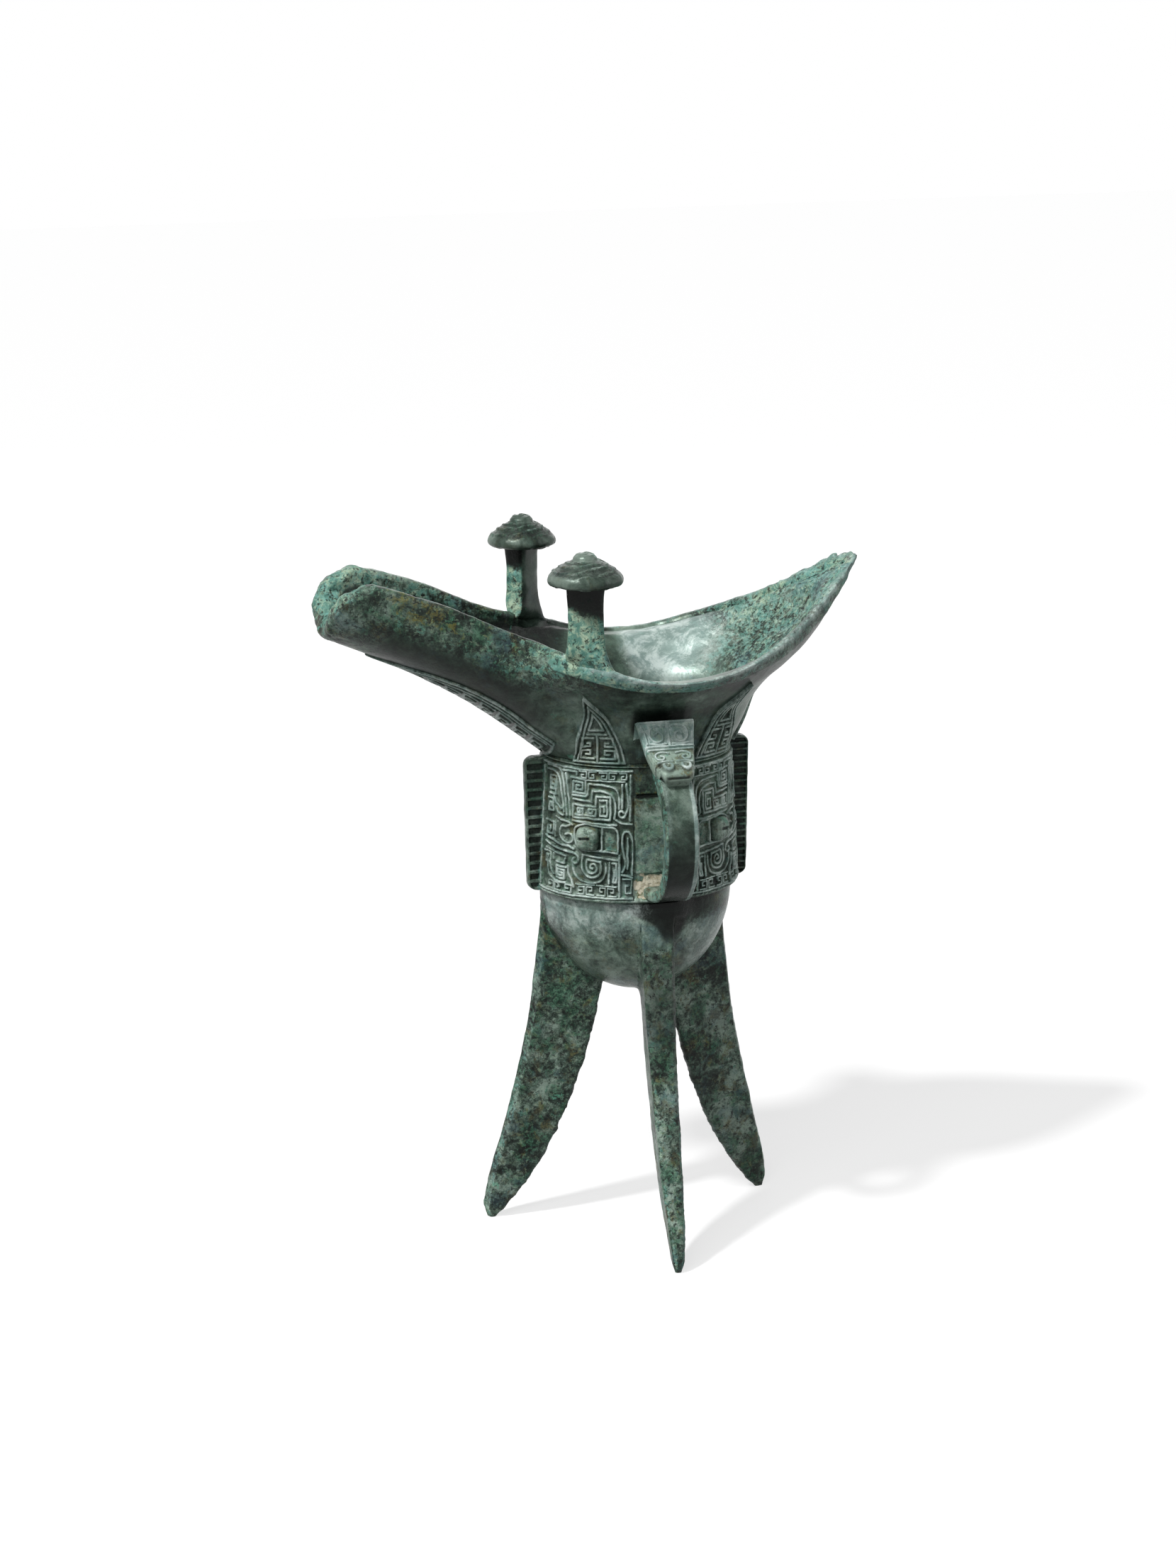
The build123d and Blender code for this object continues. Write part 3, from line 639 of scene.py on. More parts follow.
# Bowl and legs: one cast mass with soft corners where they meet, kept as separate pieces
LEGS = {"leg_front": -91.0, "leg_left": 162.6, "leg_right": 20.6}
BEVEL = {"leg_front": 1.2, "leg_left": 2.4, "leg_right": 1.4}
VOXEL = 0.5
EVEN_ROUNDS, FILL_ROUNDS, LAST_ROUNDS = 12, 70, 4
BOWL_DEPTH = 30.5
BOWL_INSET = 1.3
OUTSIDE_BOWL = 1.02
HIP_FOOT = 84.0
LEG_TOP = 97.0
FRONT_LEG_TOP = 86.5
TOE_HEIGHT = 4.0


def fused_mass(nodes, voxel):
    verts, faces, start = [], [], 0
    for name in nodes:
        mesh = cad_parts[name].data
        co = np.empty(len(mesh.vertices) * 3, np.float32)
        mesh.vertices.foreach_get("co", co)
        mesh.calc_loop_triangles()
        tri = np.empty(len(mesh.loop_triangles) * 3, np.int32)
        mesh.loop_triangles.foreach_get("vertices", tri)
        verts.append(co.reshape(-1, 3))
        faces.append(tri.reshape(-1, 3) + start)
        start += len(verts[-1])
    mesh = bpy.data.meshes.new("mass")
    mesh.from_pydata(np.concatenate(verts).tolist(), [], np.concatenate(faces).tolist())
    thing = add_object("mass", mesh)
    remesh = thing.modifiers.new("voxels", "REMESH")
    remesh.mode = "VOXEL"
    remesh.voxel_size = voxel * MM
    remesh.adaptivity = 0.0
    depsgraph = bpy.context.evaluated_depsgraph_get()
    solid = thing.evaluated_get(depsgraph).to_mesh()
    co = np.empty(len(solid.vertices) * 3, np.float32)
    solid.vertices.foreach_get("co", co)
    index = np.empty(len(solid.loops), np.int32)
    solid.loops.foreach_get("vertex_index", index)
    thing.evaluated_get(depsgraph).to_mesh_clear()
    bpy.data.objects.remove(thing)
    bpy.data.meshes.remove(mesh)
    return (co.reshape(-1, 3).astype(float) - AXIS) / MM, index.reshape(-1, 4)


def relax(points, quads, rounds, only_hollows=False):
    """Evens the points out. With only_hollows it fills inner corners and leaves edges alone."""
    pull, push = 0.5, -0.52
    a = quads.ravel()
    b = np.roll(quads, -1, 1).ravel()
    start, stop = np.concatenate([a, b]), np.concatenate([b, a])
    count = np.maximum(np.bincount(start, minlength=len(points)), 1)
    for step in range(rounds):
        total = np.stack([np.bincount(start, points[stop, k], len(points)) for k in range(3)], 1)
        move = total / count[:, None] - points
        if only_hollows:
            n = vertex_normals(points, quads)
            points = points + pull * n * np.maximum((move * n).sum(1, keepdims=True), 0)
        else:
            points = points + (push if step % 2 else pull) * move
    return points


def leg_axes(name):
    turn = math.radians(LEGS[name])
    return np.array([math.cos(turn), math.sin(turn)]), np.array([-math.sin(turn), math.cos(turn)])


def swell_hip(points, normal, name):
    """Lets the bowl swell out to the leg's outer face under the band."""
    ahead, across = leg_axes(name)
    out, side = points[:, :2] @ ahead, np.abs(points[:, :2] @ across)
    reach = 1 / math.hypot(ahead[0] / FOOT_AXES[0], ahead[1] / FOOT_AXES[1]) - 0.25
    faces_out = (normal[:, :2] @ ahead > 0.25) & (out > 10)
    share = ramp(11.5, 3.6, side) * ramp(HIP_FOOT, BAND_FOOT - 1.0, points[:, 2]) * faces_out
    points[:, :2] += ahead * (share * np.maximum(reach - out, 0))[:, None]


def bevel(points, chosen, name):
    """Takes the sharp outer edges off a leg, and says where."""
    ahead, across = leg_axes(name)
    p = points[chosen]
    out, side = p[:, :2] @ ahead, p[:, :2] @ across
    level = np.clip(p[:, 2], 0, 99).astype(int)
    far, wide = np.zeros(100), np.zeros(100)
    np.maximum.at(far, level, out)
    outer = out > far[level] - 2.6
    np.maximum.at(wide, level[outer], np.abs(side[outer]))
    evened = [np.convolve(np.pad(row, 3, mode="edge"), np.ones(7) / 7, "valid") for row in (far, wide)]
    far, wide = [np.interp(p[:, 2] - 0.5, np.arange(100), row) for row in evened]
    over = np.maximum(out - far + np.abs(side) - wide + BEVEL[name], 0) / 2 * ramp(96.0, 88.0, p[:, 2])
    p[:, :2] -= over[:, None] * (ahead[None] + np.sign(side)[:, None] * across[None])
    points[chosen] = p
    return ramp(0.05, 0.3, over)


def round_toe(points, chosen):
    """Draws the foot of a leg in towards its middle."""
    p = points[chosen]
    middle = p[p[:, 2] < 1][:, :2].mean(0)
    p[:, :2] += (middle - p[:, :2]) * (0.34 * ramp(TOE_HEIGHT, 0.0, p[:, 2]) ** 2)[:, None]
    points[chosen] = p


def bowl_and_legs():
    names = list(LEGS)
    points, quads = fused_mass(["bowl", *names], VOXEL)
    points = relax(points, quads, EVEN_ROUNDS)
    normal = vertex_normals(points, quads)
    for name in names:
        swell_hip(points, normal, name)
    points = relax(points, quads, FILL_ROUNDS, only_hollows=True)
    points = relax(points, quads, LAST_ROUNDS)
    half_length, half_width = [axis - BOWL_INSET for axis in FOOT_AXES]
    ring = np.hypot(points[:, 0] / half_length, points[:, 1] / half_width)
    ball = np.sqrt(ring**2 + ((points[:, 2] - BAND_FOOT) / BOWL_DEPTH) ** 2)
    on_leg = (ball > OUTSIDE_BOWL) & (points[:, 2] < LEG_TOP)
    angle = np.degrees(np.arctan2(points[:, 1], points[:, 0]))
    nearest = np.stack([np.abs((angle - LEGS[n] + 180) % 360 - 180) for n in names], 1).argmin(1)
    strip = np.zeros(len(points))
    for k, name in enumerate(names):
        chosen = np.nonzero(on_leg & (nearest == k))[0]
        strip[chosen] = bevel(points, chosen, name)
        round_toe(points, chosen)
    points = relax(points, quads, LAST_ROUNDS)
    normal = vertex_normals(points, quads)
    # Rough faces, with rougher inner edges
    facing_in = np.zeros(len(points))
    for k, name in enumerate(names):
        facing_in = np.where(nearest == k, -(normal[:, :2] @ leg_axes(name)[0]), facing_in)
    inner_edge = ramp(0.45, 0.85, facing_in) * on_leg * ramp(80.0, 60.0, points[:, 2])
    move = on_leg * (0.12 * noise(points, 6.0, 23, 2) + 0.06 * noise(points, 1.5, 27, 2))
    move += 0.35 * inner_edge * noise(points, 2.2, 21, 3)
    points = points + normal * move[:, None]
    normal = vertex_normals(points, quads)
    x, y, z = points.T
    near_side = y < 0
    # The front leg ends in an uneven line below its hip, which goes with the bowl
    below_hip = z + 1.6 * noise(points, 5.0, 35, 2) < FRONT_LEG_TOP
    own_leg = on_leg & ((nearest > 0) | below_hip)
    corner = np.sort(np.where(own_leg, nearest + 1, 0)[quads], axis=1)
    part = np.where(corner[:, 1] == corner[:, 2], corner[:, 1], corner[:, 0])

    low = ramp(70.0, 30.0, z)
    leg_crust = 0.16 + 0.16 * noise(points, 12.0, 31, 2) + 0.4 * strip * low + 0.12 * low
    # Painted highlights on the near side of the bowl: a pool of light at the upper left and a paler patch at
    # the right
    painted_highlight = near_side * ramp(84.0, 94.0, z) * ramp(2.0, -10.0, x)
    painted_right_highlight = near_side * between(70.0, 80.0, 91.0, 97.0, z) * ramp(3.0, 13.0, x)
    # Painted shadow of the handle's foot on the hip, along the arched edge of the hip
    drop = np.clip((99.5 - z) / 11.0, 0, 1)
    arch = -16.0 + 16.5 * (1 - (1 - drop) ** 2.4)
    shadow_foot = 88.5 + 5.5 * ramp(5.0, 9.0, x)
    sunk_or_shadowed = near_side * ramp(-0.9, 1.1, x - arch) * ramp(21.0, 11.0, x) * ramp(-2.0, 2.5, z - shadow_foot)
    # Painted shade on the upper part of the front leg
    shaded = ramp(1.0, 1.08, ball) * (nearest == 0) * between(46.0, 66.0, 80.0, 92.0, z)
    dark = on_leg * (0.35 * inner_edge + 0.2 * np.clip(noise(points, 9.0, 33, 2), 0, 1))
    # Adds the painted shadow under the handle, the painted shade on the front leg and painted shade just
    # under the band's foot
    dark += sunk_or_shadowed + 0.55 * shaded + 0.6 * ramp(98.2, 99.6, z)
    leg_relief = (1 - 0.7 * shaded) * (0.3 * ramp(0.5, 0.95, -facing_in) + 0.45 * strip)
    fields = {
        "relief": np.where(own_leg, leg_relief, 0.3 + 0.5 * painted_highlight + 0.45 * painted_right_highlight),
        "crust": np.where(own_leg, leg_crust, 0.1 + 0.3 * painted_highlight),
        "dark": dark,
        "ochre": np.where(own_leg, 0.16, 0.22),
        "smooth": np.where(own_leg, 0.0, 0.45),
    }
    for k, node in enumerate(["bowl", *names]):
        split_piece(node, points, quads, normal, part == k, MAT_LEG if k else MAT_PLAIN, **fields)


# Raised line ornament, drawn as strokes on a flat field and then laid on the vessel
STROKE_ROOM = 1.5
HOOK = ((0, 0), (1, 0), (1, 1), (0.3, 1), (0.3, 0.38), (0.66, 0.38), (0.66, 0.68))
CURL = ((0, 0), (1, 0), (1, 1), (0.32, 1), (0.32, 0.48), (0.62, 0.48))
LONG_HOOK = (
    (0, 0), (1, 0), (1, 1), (0.16, 1), (0.16, 0.26), (0.8, 0.26), (0.8, 0.76), (0.38, 0.76), (0.38, 0.5),
    (0.6, 0.5),
)


def stroke_field(u, v, strokes, half, soft):
    """Height from 0 to 1 of raised lines with rounded tops."""
    best = np.full(u.shape, 9.0)
    for line in strokes:
        for (x0, y0), (x1, y1) in zip(line, line[1:]):
            dx, dy = x1 - x0, y1 - y0
            near = np.abs(u - (x0 + x1) / 2) < abs(dx) / 2 + STROKE_ROOM
            near &= np.abs(v - (y0 + y1) / 2) < abs(dy) / 2 + STROKE_ROOM
            if not near.any():
                continue
            uu, vv = u[near], v[near]
            t = np.clip(((uu - x0) * dx + (vv - y0) * dy) / max(dx * dx + dy * dy, 1e-9), 0, 1)
            best[near] = np.minimum(best[near], np.hypot(uu - x0 - t * dx, vv - y0 - t * dy))
    return ramp(half + soft, half - soft, best)


def bend(points, count=24):
    return [tuple(p) for p in smooth_path(points, count)]


def spiral(turns, x0, y0, x1, y1):
    """A squared spiral from the corner (x0, y0) that curls in inside its box."""
    return [(x0 + a * (x1 - x0), y0 + b * (y1 - y0)) for a, b in turns]


def mask_strokes():
    return [
        [(1.6, 37.2), (33.0, 37.2)],
        [(1.6, 1.75), (33.0, 1.75)],
        # Plume beside the flange
        bend([(4.6, 36.6), (9.2, 36.6), (10.7, 36.0), (11.4, 34.6), (12.5, 29.2), (13.3, 23.9)]),
        bend([(4.4, 35.4), (8.6, 35.2), (9.8, 34.4), (10.5, 32.8), (11.5, 28.4), (12.2, 24.6)]),
        bend([(12.6, 35.4), (13.7, 30.0), (14.5, 24.0)]),
        spiral(LONG_HOOK, 6.0, 29.0, 9.0, 33.9),
        spiral(HOOK, 5.4, 27.6, 8.0, 24.2),
        bend([(8.2, 28.4), (9.3, 26.6), (11.2, 25.2)]),
        bend([(9.0, 25.4), (10.2, 24.2), (12.0, 23.6)]),
        [(2.5, 36.0), (2.5, 2.6)],
        [(11.6, 36.3), (16.4, 36.3), (16.4, 35.4)],
        # Horn and its filling
        spiral(LONG_HOOK, 14.5, 34.6, 19.2, 30.6),
        bend([(15.2, 29.8), (19.4, 29.8)], 4) + bend([(19.9, 30.4), (20.1, 33.2)], 4)
        + bend([(20.3, 33.4), (24.5, 33.1), (27.4, 32.5), (28.6, 31.3), (29.0, 29.4), (29.0, 26.8)]),
        [(15.4, 28.7), (21.2, 28.4), (21.3, 31.5)]
        + bend([(21.3, 31.5), (25.0, 31.3), (27.1, 30.4), (27.8, 28.6), (27.8, 24.0)]),
        [(22.5, 30.0), (26.6, 30.0), (26.6, 23.7), (15.4, 23.7), (15.3, 27.2), (22.3, 27.0), (22.5, 30.0)],
        [(23.6, 29.0), (25.6, 29.0), (25.6, 24.7), (23.6, 24.7), (23.6, 27.4), (24.7, 27.4), (24.7, 25.8)],
        spiral(HOOK, 16.2, 24.5, 18.6, 26.3),
        spiral(HOOK, 19.3, 24.5, 22.4, 26.2),
        [(29.9, 33.6), (29.9, 27.0)],
        bend([
            (31.0, 33.8), (31.0, 25.6), (30.3, 24.4), (29.3, 24.6), (29.0, 25.8), (29.8, 26.3), (30.3, 25.7),
        ]),
        [(32.1, 36.0), (32.1, 23.6)],
        bend([(28.2, 23.6), (29.4, 22.9), (32.4, 22.5)]),
        # Eye row
        bend([(9.2, 22.9), (11.2, 22.3), (14.0, 22.0), (15.4, 21.4)]),
        [(15.2, 22.7), (28.2, 22.3)],
        bend([
            (24.0, 21.7), (18.2, 21.8), (16.5, 21.0), (16.2, 18.4), (16.8, 16.2), (18.6, 15.0), (24.0, 14.9),
        ]),
        bend([(24.3, 21.6), (27.5, 21.4), (28.5, 20.4), (28.7, 17.0), (28.7, 14.3)]),
        [(24.0, 14.9), (28.7, 14.3)],
        [(24.3, 21.5), (24.3, 15.0)],
        bend([
            (14.6, 21.3), (13.0, 20.7), (11.5, 20.5), (11.0, 19.2), (11.4, 17.6), (12.7, 16.5), (14.5, 16.2),
            (15.5, 17.1), (15.3, 18.4), (14.2, 18.9), (13.0, 18.5),
        ], 40),
        spiral(HOOK, 4.8, 21.2, 8.4, 17.7),
        [(9.2, 21.0), (9.2, 17.2)],
        # Cheek
        bend([(4.8, 16.8), (9.0, 16.0), (11.2, 15.4), (14.8, 15.2), (16.0, 14.8)]),
        bend([
            (4.8, 15.2), (9.0, 14.4), (14.4, 13.8), (16.6, 13.5), (17.5, 12.6), (17.4, 11.2), (16.4, 10.7),
            (15.7, 11.4), (16.1, 12.1),
        ], 40),
        [(18.8, 13.5), (28.7, 12.5)],
        bend([
            (15.8, 10.2), (16.2, 8.6), (17.5, 6.8), (19.6, 5.9), (22.0, 5.7), (24.2, 6.5), (25.3, 8.3),
            (25.4, 11.4),
        ], 40),
        bend([
            (18.8, 13.0), (18.7, 10.6), (19.3, 8.6), (20.7, 7.4), (22.4, 7.3), (23.8, 8.3), (24.2, 10.0),
            (24.0, 11.8),
        ], 40) + [(20.2, 12.2)],
        bend([
            (20.1, 12.0), (19.9, 10.3), (20.5, 8.9), (21.6, 8.4), (22.7, 8.9), (23.0, 10.0), (22.4, 11.0),
            (21.3, 10.9), (21.1, 9.9), (21.8, 9.7),
        ], 40),
        [(26.4, 11.8), (26.4, 6.0)],
        spiral(HOOK, 27.3, 11.6, 28.4, 6.4),
        spiral(LONG_HOOK, 13.7, 9.2, 10.2, 5.9),
        bend([(7.5, 10.4), (7.7, 8.2), (8.5, 6.8), (9.3, 6.4)]),
        bend([(6.4, 10.8), (6.5, 8.0), (7.4, 6.0), (9.2, 5.1), (13.6, 4.9)]),
        [(5.2, 13.3), (9.0, 13.0), (13.4, 12.4)],
        [(8.8, 12.2), (8.8, 10.8)],
        [(10.0, 10.4), (13.0, 10.3), (13.2, 11.6)],
        spiral(HOOK, 4.6, 12.4, 7.4, 9.6),
        bend([(14.4, 9.8), (14.6, 7.8), (15.6, 5.8), (16.3, 4.2)]),
        # Column beside the bare panel
        [(29.2, 13.8), (29.2, 2.4)],
        bend([
            (30.0, 9.2), (30.5, 10.4), (30.1, 19.4), (30.6, 20.5), (31.7, 20.5), (32.4, 19.0), (32.6, 8.4),
        ], 40),
        [(31.4, 18.6), (31.4, 10.2)],
        bend([(29.9, 8.4), (31.4, 8.1), (32.6, 7.6)]),
    ]


def small_strokes():
    """Thin lines: the rows of small spirals at the top and the foot, and one beside the bare panel."""
    lines = [[(17.0, 34.4), (30.6, 34.4)], [(17.0, 5.1), (22.4, 5.1)], [(23.0, 5.1), (28.4, 5.1)]]
    lines.append(spiral(CURL, 30.2, 7.2, 32.4, 3.2))
    top_row = ((17.2, 19.5), (22.5, 20.2), (23.3, 25.5), (28.3, 26.1), (29.0, 31.0))
    foot_row = ((6.2, 9.2), (12.0, 9.8), (12.7, 15.6), (17.2, 19.5), (22.4, 20.2), (23.1, 25.4), (28.4, 26.1))
    lines += [spiral(CURL, x0, 36.7, x1, 35.0) for x0, x1 in top_row]
    lines += [spiral(CURL, x0, 2.4, x1, 4.5) for x0, x1 in foot_row]
    return lines


def far_strokes():
    """The column of spirals that fills the far quarters up to their flange."""
    lines = [[(33.0, 36.4), (33.0, 2.6)], [(33.0, 37.2), (38.6, 37.2)], [(33.0, 1.75), (38.6, 1.75)]]
    for drop in 5.6 * np.arange(6):
        lines.append(spiral(LONG_HOOK, 33.6, 35.6 - drop, 37.8, 31.0 - drop))
        lines.append([(33.4, 30.4 - drop), (38.2, 30.4 - drop)])
    return lines


MASK = mask_strokes()
MASK_SMALL = small_strokes()
PANEL_START, PANEL_END = 1.6, 33.0
PANEL_FOOT, PANEL_TOP = 1.2, 37.8
PANEL_STEP = 0.15
PANEL_ROWS = 244
EYE_PLACE = (20.2, 18.2)
EYE_HALF = 3.35


def on_band(node, u, v, height, mirror_x, mirror_y, **fields):
    """Lays relief on a quarter of the band, drawn for the side by the spout and handle and mirrored."""
    points = band_point(np.interp(u, ARC_S, ARC_T), v, height) * (mirror_x, mirror_y, 1)
    faces = grid_faces(*u.shape, flip=mirror_x * mirror_y < 0)
    piece(node, points, faces, MAT_RELIEF, "bronze_relief", **fields)


def panel(node, mirror_x, mirror_y, is_far):
    """A quarter of the mask band."""
    end = QUARTER - PANEL_START if is_far else PANEL_END
    us = np.linspace(PANEL_START, end, int((end - PANEL_START) / PANEL_STEP))
    v, u = np.meshgrid(np.linspace(PANEL_FOOT, PANEL_TOP, PANEL_ROWS), us, indexing="ij")
    flat = np.stack([u, v, 0 * u], -1)
    uw, vw = u + 0.12 * noise(flat, 2.0, 40, 2), v + 0.12 * noise(flat, 2.0, 42, 2)
    lines = MASK + far_strokes() if is_far else MASK
    ridge = np.maximum(stroke_field(uw, vw, lines, 0.38, 0.24), stroke_field(uw, vw, MASK_SMALL, 0.26, 0.18))
    ridge = ridge * (0.9 + 0.18 * noise(flat, 3.0, 41, 2))
    sunk_or_shadowed = between(24.2, 24.8, 28.2, 28.8, u) * between(14.6, 15.2, 21.0, 21.6, v)
    height = 0.34 + 0.05 * noise(flat, 1.6, 43, 2) - 0.22 * sunk_or_shadowed + 0.9 * ridge
    height[[0, -1]] = SUNK
    height[:, [0, -1]] = SUNK
    dark = 0.55 * (1 - ridge) - 0.25 * ramp(-0.2, 0.6, noise(flat, 5.0, 47, 2))
    on_band(
        node, u, v, height, mirror_x, mirror_y, relief=ridge, dark=np.clip(dark, 0, 1) * (1 - 0.6 * sunk_or_shadowed),
        crust=0.2 + 0.16 * noise(flat, 8.0, 49, 2) + 0.15 * sunk_or_shadowed,
    )


def eye(node, mirror_x, mirror_y):
    """A raised eye with a rounded outer side and a slit."""
    a, b = np.meshgrid(np.linspace(-1, 1, 44), np.linspace(-1, 1, 44), indexing="xy")
    edge = (np.abs(a) ** np.where(a < 0, 3.2, 5.0) + np.abs(b) ** 3.6) ** (1 / 4.0)
    dome = np.clip(1 - edge**5, 0, 1) ** 0.5
    slit = ramp(0.16, 0.06, np.abs(b - 0.06 - 0.1 * a)) * ramp(0.55, 0.35, np.abs(a + 0.12))
    height = 0.35 + 2.7 * dome - 0.8 * slit * (dome > 0.3)
    # Painted shade round the foot of the raised eye; the slit is dark too
    dark = 0.95 * slit + 0.6 * (dome < 0.4)
    u, v = EYE_PLACE[0] + EYE_HALF * a, EYE_PLACE[1] + EYE_HALF * b
    on_band(node, u, v, height, mirror_x, mirror_y, relief=0.55 * dome, dark=dark, crust=0.25 * dome)


# Pointed leaves on the neck, under the spout and under the tail
LEAF_BOW = 1.22
LEAF_END = 0.995
MISSED = 60.0
SPOUT_LEAF_START = -26.0
SPOUT_LEAF_TIP = -76.0
SPOUT_LEAF_LENGTH = SPOUT_LEAF_START - SPOUT_LEAF_TIP
BELOW_SPOUT = 90.0
SPOUT_LEAF_SIDE = ((SPOUT_LEAF_TIP, 0.0), (-52.5, 11.8), (-29.0, 13.6))


def leaf_half(width, height, b):
    return width / 2 * (1 - np.clip(b / height, 0, 1) ** LEAF_BOW)


def leaf_strokes(width, height):
    """Lines of a leaf in its own flat field: across from the middle, and up from the foot."""
    half = width / 2
    bar = height * 0.42
    reach = float(leaf_half(width, height, bar)) - 2.3
    left, right = (-reach + 0.6, bar + 1.2), (reach - 0.6, bar + 1.2)
    peak = [left, (0, height * 0.72), right, left]
    foot_line = [(-half + 0.3, 0.35), (half - 0.3, 0.35)]
    lines = [foot_line, [(-reach, bar), (reach, bar)], [(0, 0.5), (0, bar - 0.3)], peak]
    for inset, drop in ((0.4, 0.4), (1.6, 3.2)):
        b = np.linspace(0.35, height - drop, 14)
        a = np.maximum(leaf_half(width - 2 * inset, height - drop, b), 0)
        lines += [list(zip(-a, b)), list(zip(a, b))]
    for side in (-1, 1):
        end = half - 2.7
        low = [(0.9, 1.5), (end, 1.5), (end - 0.3, 3.9), (1.9, 3.9), (1.9, 2.7), (end - 1.4, 2.7)]
        top = bar - 1.1
        high = [(0.9, top), (end - 0.8, top), (end - 0.5, 5.1), (1.9, 5.1), (1.9, 6.1), (2.8, 6.1)]
        lines += [[(side * a, b) for a, b in line] for line in (low, high)]
    return lines


def spout_leaf_half(a):
    """Half-width of the leaf under the spout at a distance from its broad end."""
    middle_x, middle_y, radius = circle_through(*SPOUT_LEAF_SIDE)
    x = SPOUT_LEAF_START - a
    return np.maximum(middle_y + np.sqrt(np.maximum(radius**2 - (x - middle_x) ** 2, 0)), 0.02)


def meander_strokes():
    """Lines of the long leaf under the spout: along from its broad end, and across."""
    lines = [[(0.5, 0), (SPOUT_LEAF_LENGTH - 3.0, 0)]]
    a = np.linspace(0.4, SPOUT_LEAF_LENGTH - 1.0, 40)
    for side in (-1, 1):
        for inset in (0.4, 1.7):
            b = np.maximum(spout_leaf_half(a) - inset, 0)
            lines.append([(p, side * q) for p, q in zip(a, b) if q > 0])
        lines.append([(0.4, 0), (0.4, side * float(spout_leaf_half(0.4) - 0.4))])
        for start in 2.0 + 4.6 * np.arange(7):
            room = float(spout_leaf_half(start + 3.8)) - 2.9
            if room > 2.0:
                lines.append(spiral(LONG_HOOK, start, side * room, start + 3.7, side * 1.3))
    return lines


def raised_leaf(node, skin, start, direction, ridge, ground, tall, flip, **fields):
    """Lays a leaf on the skin along straight lines, with its border sunk into the wall."""
    base = np.empty_like(start)
    for index in np.ndindex(start.shape[:-1]):
        found = skin.ray_cast(Vector(start[index]), Vector(direction))[0]
        base[index] = found if found is not None else start[index] + direction * MISSED
    normal = unit(np.cross(np.gradient(base, axis=1), np.gradient(base, axis=0)))
    normal *= -np.sign((normal * direction).sum(-1, keepdims=True))
    lift = ground + tall * ridge
    lift[[0, -1]] = SUNK
    lift[:, [0, -1]] = SUNK
    faces = grid_faces(*ridge.shape, flip=flip)
    piece(node, base + normal * lift[..., None], faces, MAT_RELIEF, "bronze_relief", **fields)


def leaf(node, skin, angle, width, height, lean=0.0, shift=0.0, foot=1.2):
    rows, cols = 120, 84
    b = np.linspace(0, 1, rows)[:, None] * height * LEAF_END + np.zeros((1, cols))
    a = np.linspace(-1, 1, cols)[None] * np.maximum(leaf_half(width, height, b), 0.02)
    turn = math.radians(angle)
    out = np.array([math.cos(turn), math.sin(turn), 0.0])
    across = np.array([-math.sin(turn), math.cos(turn), 0.0])
    start = out * FAR_OUT + across * (a + shift + lean * b / height)[..., None]
    start[..., 2] += BAND_TOP + foot + b
    ridge = stroke_field(a, b, leaf_strokes(width, height), 0.36, 0.2)
    fields = {"relief": 0.8 * ridge, "dark": 0.62 * (1 - ridge), "crust": 0.15}
    raised_leaf(node, skin, start, -out, ridge, 0.2, 0.85, False, **fields)


def spout_leaf(skin):
    rows, cols = 260, 150
    a = np.linspace(0, 1, rows)[:, None] * SPOUT_LEAF_LENGTH * LEAF_END + np.zeros((1, cols))
    b = np.linspace(-1, 1, cols)[None] * spout_leaf_half(a)
    start = np.stack([SPOUT_LEAF_START - a, b, np.full(a.shape, BELOW_SPOUT)], -1)
    ridge = stroke_field(a, b, meander_strokes(), 0.34, 0.2)
    fields = {"relief": 0.95 * ridge, "dark": 0.15 + 0.6 * (1 - ridge)}
    raised_leaf("spout_blade", skin, start, np.array([0.0, 0.0, 1.0]), ridge, 0.15, 0.5, True, **fields)


# Flanges: upright fins with recesses between thin ribs
FIN_HALF = 1.6
FIN_CORNER = 2.4
FIN_ROUND = 0.55
FIN_ROOT = 0.8
FIN_FOOT_REACH, FIN_TOP_REACH = 3.8, 6.6


